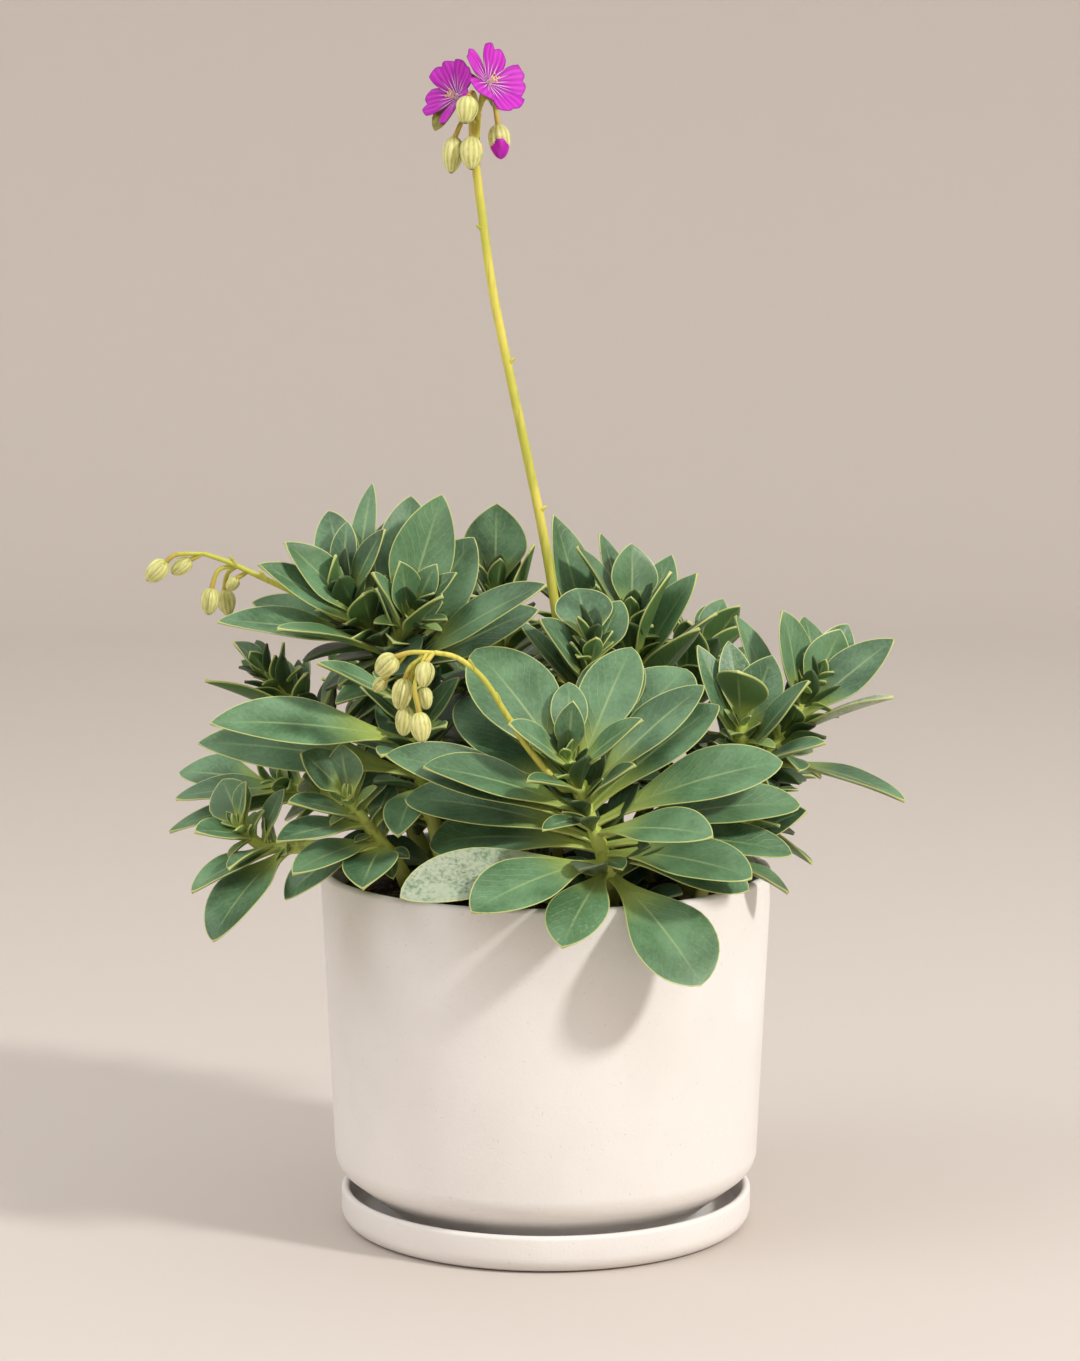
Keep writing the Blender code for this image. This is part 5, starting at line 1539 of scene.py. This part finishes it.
blooms = [
    {
        "side": "left",
        "route": [(-38, -11, 611), (-41, -12, 617)],
        "centre": (-47.5, -14, 623),
        "facing": (-0.75, -0.60, 0.27),
        "petal": 22,
        "turn": 55,
        "shortPetals": {3: 0.84},
        "sepals": [(-60, -11, 605), (-41, -5, 633)],
    },
    {
        "side": "right",
        "route": [(-37, -12, 611), (-35, -16, 620)],
        "centre": (-31, -25, 630),
        "facing": (0.62, -0.60, 0.50),
        "petal": 23,
        "turn": 64,
        "sepals": [(-38, -14, 632), (-29, -17, 619)],
    },
]
bloom = {
    "petals": 5,
    "cup": math.radians(25),
    "halfWidth": (0.06, 0.325),     # shares of a petal's length: at its foot, and added at its widest
    "fullAt": 1.12,                 # more brings the widest place nearer the foot
    "fullCurve": 1.25,
    "sizes": (0.97, 1.0),
    "round": 0.2,
    "notch": 0.09,
    "notchWidth": 0.22,
    "droop": 0.08,
    "curl": 0.05,
    "ruffle": 0.35,
    "crease": 0.5,
    "creaseWidth": 0.14,
    "tilt": 2.0,                    # one edge of each petal lies over the next petal's
    "thick": 0.7,
    "hub": (2.2, 1.8),              # radius behind and in front, as in the next two
    "hubDepth": 2.0,
    "hubGap": 0.6,
    "eye": (1.5, 1.2),
    "eyeDepth": 1.0,
    "seat": (1.6, 2.6),
    "seatDepth": 3.2,
    "discEdge": 0.35,
    "sepalWidth": 13.0,
    "sepalSink": 2.0,
    "filaments": 11,
    "filamentLength": 5.4,
    "filamentShare": (0.72, 1.0),
    "filamentRoot": (0.6, 0.9),     # forwards and outwards
    "filamentSpread": 2.6,
    "filamentBow": 0.5,
    "filamentRadius": 0.28,
    "filamentTaper": 0.8,
    "filamentSpacing": 1.0,
    "antherSize": (0.38, 0.38, 0.75),
    "magenta": (0.470, 0.007, 0.440),
    "deep": (0.250, 0.004, 0.260),
    "light": (0.580, 0.045, 0.540),
    "white": (0.900, 0.720, 0.860),
    "vein": (0.170, 0.003, 0.190),
    "cream": (0.850, 0.780, 0.520),
    "creamPale": (0.900, 0.860, 0.700),
    "anther": (0.780, 0.640, 0.380),
    "antherDeep": (0.820, 0.500, 0.080),
    "sepal": (0.200, 0.190, 0.040),
    "sepalEdge": (0.330, 0.230, 0.060),
}


def petalFinish():
    # veins fan out along the petal's own map, with white lines near the centre
    made = Finish("magentaPetal", Specular_IOR_Level=0.3, Sheen_Weight=0.05, Sheen_Roughness=0.5)
    across, lengthwise, edge = (made.attribute("petalLook", i) for i in range(3))
    cloud = made.noise(160.0, 3.0)
    fan = across * 17.0 + (cloud - 0.5) * 1.6
    wave = fan.maths("SINE", fan)
    veins = made.ramp(wave, 0.50, 1.0) * made.ramp(lengthwise, 1.0, 0.45)
    narrow = across * 13.0
    lines = made.ramp(narrow.maths("COSINE", narrow), 0.70, 0.98) * made.ramp(lengthwise, 0.62, 0.20)
    depth = made.ramp(lengthwise + (cloud - 0.5) * 0.25, 0.15, 0.62)
    base = made.mix(depth, bloom["deep"], bloom["magenta"])
    base = made.mix(made.ramp(wave, 0.1, -0.9) * 0.55, base, bloom["light"])
    # painted shade: each petal darkens along its rim, as the shadow where the petals overlap
    base = made.mix(made.ramp(edge, 0.14, 0.0) * 0.8, base, bloom["deep"])
    base = made.mix(veins * 0.70, base, bloom["vein"])
    made.colour(made.mix(lines * 0.85, base, bloom["white"]))
    made.roughness(0.52 + cloud * 0.12)
    made.bump(cloud * 0.4 - veins * 0.6, 0.14)
    return made.material


def plainFinish(name, colour, second, roughness):
    made = Finish(name, Specular_IOR_Level=0.35)
    grain = made.noise(500.0, 3.0)
    made.colour(made.mix(made.ramp(grain, 0.35, 0.65), colour, second))
    made.roughness(roughness + grain * 0.1)
    made.bump(grain, 0.1)
    return made.material


def sepalFinish():
    made = Finish("oliveSepal", Specular_IOR_Level=0.35)
    rimGap = made.attribute("leafShape", 0)
    cloud = made.noise(200.0, 3.0)
    base = made.mix(made.ramp(cloud, 0.4, 0.7), bloom["sepal"], stalk["green"])
    made.colour(made.mix(made.ramp(rimGap, 0.9, 0.1), base, bloom["sepalEdge"]))
    made.roughness(0.45 + cloud * 0.1)
    made.bump(cloud, 0.15)
    return made.material


def bloomAxes(facing, turn):
    ahead = vec(facing).normalized()
    across = Vector((0, 0, 1)).cross(ahead).normalized()
    above = ahead.cross(across)
    spin = Matrix.Rotation(math.radians(turn), 3, ahead)
    return spin @ across, spin @ above, ahead


def layPetal(name, template, spec, axes, angle, stretch, draw, finish):
    # one petal: a copy of the template, notched, creased, cupped and a little ruffled
    sheet, flat = template
    across, above, ahead = (np.array(v) for v in axes)
    out = across * math.cos(angle) + above * math.sin(angle)
    side = np.cross(ahead, out)
    length = spec["petal"] * stretch * draw.uniform(*bloom["sizes"])
    u = np.sin(flat[:, 0] * math.pi / 2)
    t = flat[:, 1]
    claw, spread = bloom["halfWidth"]
    full = np.sin(math.pi / 2 * np.minimum(1.0, t * bloom["fullAt"]))
    half = length * (claw + spread * full ** bloom["fullCurve"])
    notch = bloom["notch"] * np.exp(-((u / bloom["notchWidth"]) ** 2))
    reach = length * t * (1 - bloom["round"] * u * u - notch)
    lift = reach * math.sin(bloom["cup"]) - bloom["droop"] * length * t * t
    lift = lift + bloom["curl"] * length * u * u * t
    phase = draw.uniform(0, 6.28)
    crease = bloom["crease"] * np.exp(-((u / bloom["creaseWidth"]) ** 2))
    lift = lift + bloom["ruffle"] * np.sin(u * 5 + phase) * t**3 - crease * t + u * bloom["tilt"] * t
    lift = lift + flat[:, 2] * bloom["thick"] / 2 * (1 - 0.5 * t)
    reached = bloom["hubGap"] + reach * math.cos(bloom["cup"])
    places = np.array(spec["centre"]) + np.outer(reached, out)
    places = places + np.outer(u * half, side) + np.outer(lift, ahead)
    mesh = sheet.data.copy()
    writePlaces(mesh, places * mm)
    writeAttribute(mesh, "petalLook", u, t, np.minimum(1 - np.abs(u), (1 - t) * 2))
    return addObject(name, mesh, finish)


def disc(name, centre, ahead, radii, depth, finish):
    # a short round seat on the bloom's axis
    clearSelection()
    back, front = radii
    bpy.ops.mesh.primitive_cone_add(vertices=24, radius1=back * mm, radius2=front * mm, depth=depth * mm,
                                    location=centre * mm, rotation=ahead.to_track_quat("Z", "Y").to_euler())
    made = bpy.context.object
    made.name = name
    bpy.ops.object.transform_apply()
    applyModifier(made, "BEVEL", width=bloom["discEdge"] * mm, segments=2)
    bpy.ops.object.shade_smooth_by_angle(angle=math.radians(50))
    made.data.materials.append(finish)
    return made


def makeBloom(spec, template, finishes):
    axes = bloomAxes(spec["facing"], spec["turn"])
    centre, ahead = vec(spec["centre"]), axes[2]
    draw = random.Random(21)
    parts = [disc("hub", centre, ahead, bloom["hub"], bloom["hubDepth"], finishes["petal"])]
    for i in range(bloom["petals"]):
        angle = 2 * math.pi * i / bloom["petals"]
        stretch = spec.get("shortPetals", {}).get(i, 1.0)
        parts.append(layPetal(f"petal{i}", template, spec, axes, angle, stretch, draw, finishes["petal"]))
    piece = joinPieces("petals_" + spec["side"], parts)
    finishPiece(piece, f"bloom_{spec['side']}_petals")
    makeStamens(spec, axes, draw, finishes)


def makeStamens(spec, axes, draw, finishes):
    ahead = axes[2]
    seat = vec(spec["centre"]) + ahead * (bloom["hubDepth"] / 2 + stalk["gap"])
    depth = bloom["eyeDepth"]
    parts = [disc("eye", seat + ahead * depth / 2, ahead, bloom["eye"], depth, finishes["cream"])]
    radius, taper = bloom["filamentRadius"], bloom["filamentTaper"]
    for i in range(bloom["filaments"]):
        angle = i * leaf["goldenAngle"]
        spread = math.sqrt((i + 0.5) / bloom["filaments"])
        out = axes[0] * math.cos(angle) + axes[1] * math.sin(angle)
        root = seat + ahead * bloom["filamentRoot"][0] + out * bloom["filamentRoot"][1] * spread
        length = bloom["filamentLength"] * draw.uniform(*bloom["filamentShare"])
        end = seat + ahead * length + out * bloom["filamentSpread"] * spread
        middle = (root + end) / 2 + out * bloom["filamentBow"]
        path = smoothPath([root, middle, end], bloom["filamentSpacing"])
        parts.append(greenTube(f"filament{i}", path, radius, radius * taper, finishes["cream"]))
        parts.append(anther(f"anther{i}", end, (end - middle).normalized(), finishes["anther"]))
    piece = joinPieces("stamens_" + spec["side"], parts)
    finishPiece(piece, f"bloom_{spec['side']}_stamens")


def anther(name, place, ahead, finish):
    clearSelection()
    bpy.ops.mesh.primitive_uv_sphere_add(segments=10, ring_count=8, radius=mm, location=place * mm,
                                         rotation=ahead.to_track_quat("Y", "Z").to_euler(),
                                         scale=tuple(bloom["antherSize"]))
    made = bpy.context.object
    made.name = name
    bpy.ops.object.transform_apply()
    bpy.ops.object.shade_smooth()
    made.data.materials.append(finish)
    return made


def bloomBack(spec, small, finishes):
    # the green behind a bloom: its stalklet, the seat of its petals and two sepals
    ahead = vec(spec["facing"]).normalized()
    seat = vec(spec["centre"]) - ahead * (bloom["hubDepth"] / 2 + stalk["gap"])
    depth = bloom["seatDepth"]
    points = [vec(p) for p in spec["route"]] + [seat - ahead * stalk["neckSink"]]
    path = smoothPath(points, stalk["fineSpacing"])
    parts = [greenTube("neck", path, *stalk["neckRadius"], finishes["stalk"], (0.0, stalk["neckBlush"]))]
    parts.append(disc("seat", seat - ahead * depth / 2, ahead, bloom["seat"], depth, finishes["sepal"]))
    root = seat - ahead * bloom["sepalSink"]
    for i, tip in enumerate(spec["sepals"]):
        finish = finishes["sepal"]
        parts.append(scale(f"sepal{i}", root, vec(tip), bloom["sepalWidth"], small, finish, ahead))
    return parts


def openingShape(co):
    # past a line with two points, the green of the opening bud lies under its petals
    front = hang(openingBud).to_track_quat("Z", "Y").inverted() @ Vector((0, -1, 0))
    angle = math.atan2(co.y, co.x) - math.atan2(front.y, front.x)
    low, rise, curve = bud["openLine"]
    if co.z < low + rise * abs(math.sin(angle)) ** curve:
        return co
    narrow, short = bud["underPetals"]
    return Vector((co.x * narrow, co.y * narrow, co.z * short))


def petalTipShape(co):
    # the furled petals fill the tip half, and start just inside the green
    twist = 1 + bud["furl"] * math.sin(3 * math.atan2(co.y, co.x) + 5 * co.z)
    low, full = bud["furlWidth"]
    width = full * twist if co.z > bud["furlFull"] else low
    return Vector((co.x * width, co.y * width, max(co.z, bud["furlLow"]) * bud["furlHeight"]))


def shareAround(mesh):
    # where each point lies round the opening bud, for the veins of its furled petals
    middle = sum((v.co for v in mesh.vertices), Vector()) / len(mesh.vertices)
    return [math.atan2(v.co.y - middle.y, v.co.x - middle.x) / math.pi for v in mesh.vertices]


def makeTallStalk(template, small, finishes):
    path = rootedPath(stalk["tallFoot"], [vec(p) for p in stalk["tallRoute"]], stalk["spacing"])
    parts = [greenTube("run", path, *stalk["tallRadius"], finishes["stalk"])]
    parts += hangingBuds(tallBuds, template, finishes)
    parts.append(stalklet("openingStalklet", openingBud, finishes["stalk"]))
    parts.append(layBud("openingBud", template, openingBud, finishes["bud"], openingShape))
    length = stalk["tallBractLength"]
    for i, (share, way) in enumerate(stalk["tallBracts"]):
        parts.append(bract(f"bract{i}", path, share, (way, -0.4, 0.1), length, small, finishes["stalk"]))
    for spec in blooms:
        parts += bloomBack(spec, small, finishes)
    finishPiece(joinPieces("tallStalk", parts), "stalk_tall")
    tip = layBud("openingPetals", template, openingBud, finishes["petal"], petalTipShape)
    writeAttribute(tip.data, "petalLook", shareAround(tip.data), 0.8, 1.0)
    finishPiece(joinPieces("openingPetals", [tip]), "opening_bud_petals")


def makeFlowers():
    finishes = {
        "stalk": stalkFinish(),
        "bud": budFinish(),
        "petal": petalFinish(),
        "sepal": sepalFinish(),
        "cream": plainFinish("creamFilament", bloom["cream"], bloom["creamPale"], 0.5),
        "anther": plainFinish("anther", bloom["anther"], bloom["antherDeep"], 0.6),
    }
    template = budTemplate()
    small, wide = bladeTemplate("scale", 6, 10), bladeTemplate("petal", 16, 16)
    makeTallStalk(template, small, finishes)
    for spec in sideStalks:
        makeSideStalk(spec, template, small, finishes)
    for spec in blooms:
        makeBloom(spec, wide, finishes)
    for done in (template, small[0], wide[0]):
        bpy.data.objects.remove(done, do_unlink=True)


# Floor and backdrop

def makeStage():
    bend = studio["sweepRadius"]
    outline = [(0.0, 0.0), (studio["floorReach"] / 2, 0.0)]
    outline += arcPoints((studio["floorReach"], bend), bend, -90, 0, 24)
    outline.append((studio["floorReach"] + bend, studio["wallTop"]))
    floor = turnedPiece("floorAndBackdrop", outline, 96)
    made = Finish("paleFloor", Specular_IOR_Level=0.2)
    cloud = made.ramp(made.noise(6.0, 3.0), 0.3, 0.7)
    made.colour(made.mix(cloud * 0.06, studio["floorColour"], studio["floorCloud"]))
    made.roughness(0.85 + made.noise(40.0) * 0.05)
    floor.data.materials.append(made.material)


def makeLight():
    for name, spec in lights.items():
        addLight(name, **spec)
    world = bpy.data.worlds.new("studioSky")
    world.use_nodes = True
    sky = world.node_tree.nodes["Background"]
    sky.inputs["Color"].default_value = (*studio["skyColour"], 1.0)
    sky.inputs["Strength"].default_value = studio["skyStrength"]
    bpy.context.scene.world = world
    bpy.context.scene.view_settings.view_transform = "Standard"


addCamera()
makeLight()
makeStage()
print("camera, light and floor are set")
ceramic = ceramicFinish()
makePot(ceramic)
makeSaucer(ceramic)
makeSoil()
print("pot, saucer and soil are done")
makeFoliage()
print("leafy stems are done")
makeFlowers()
print("stalks, buds and blooms are done")
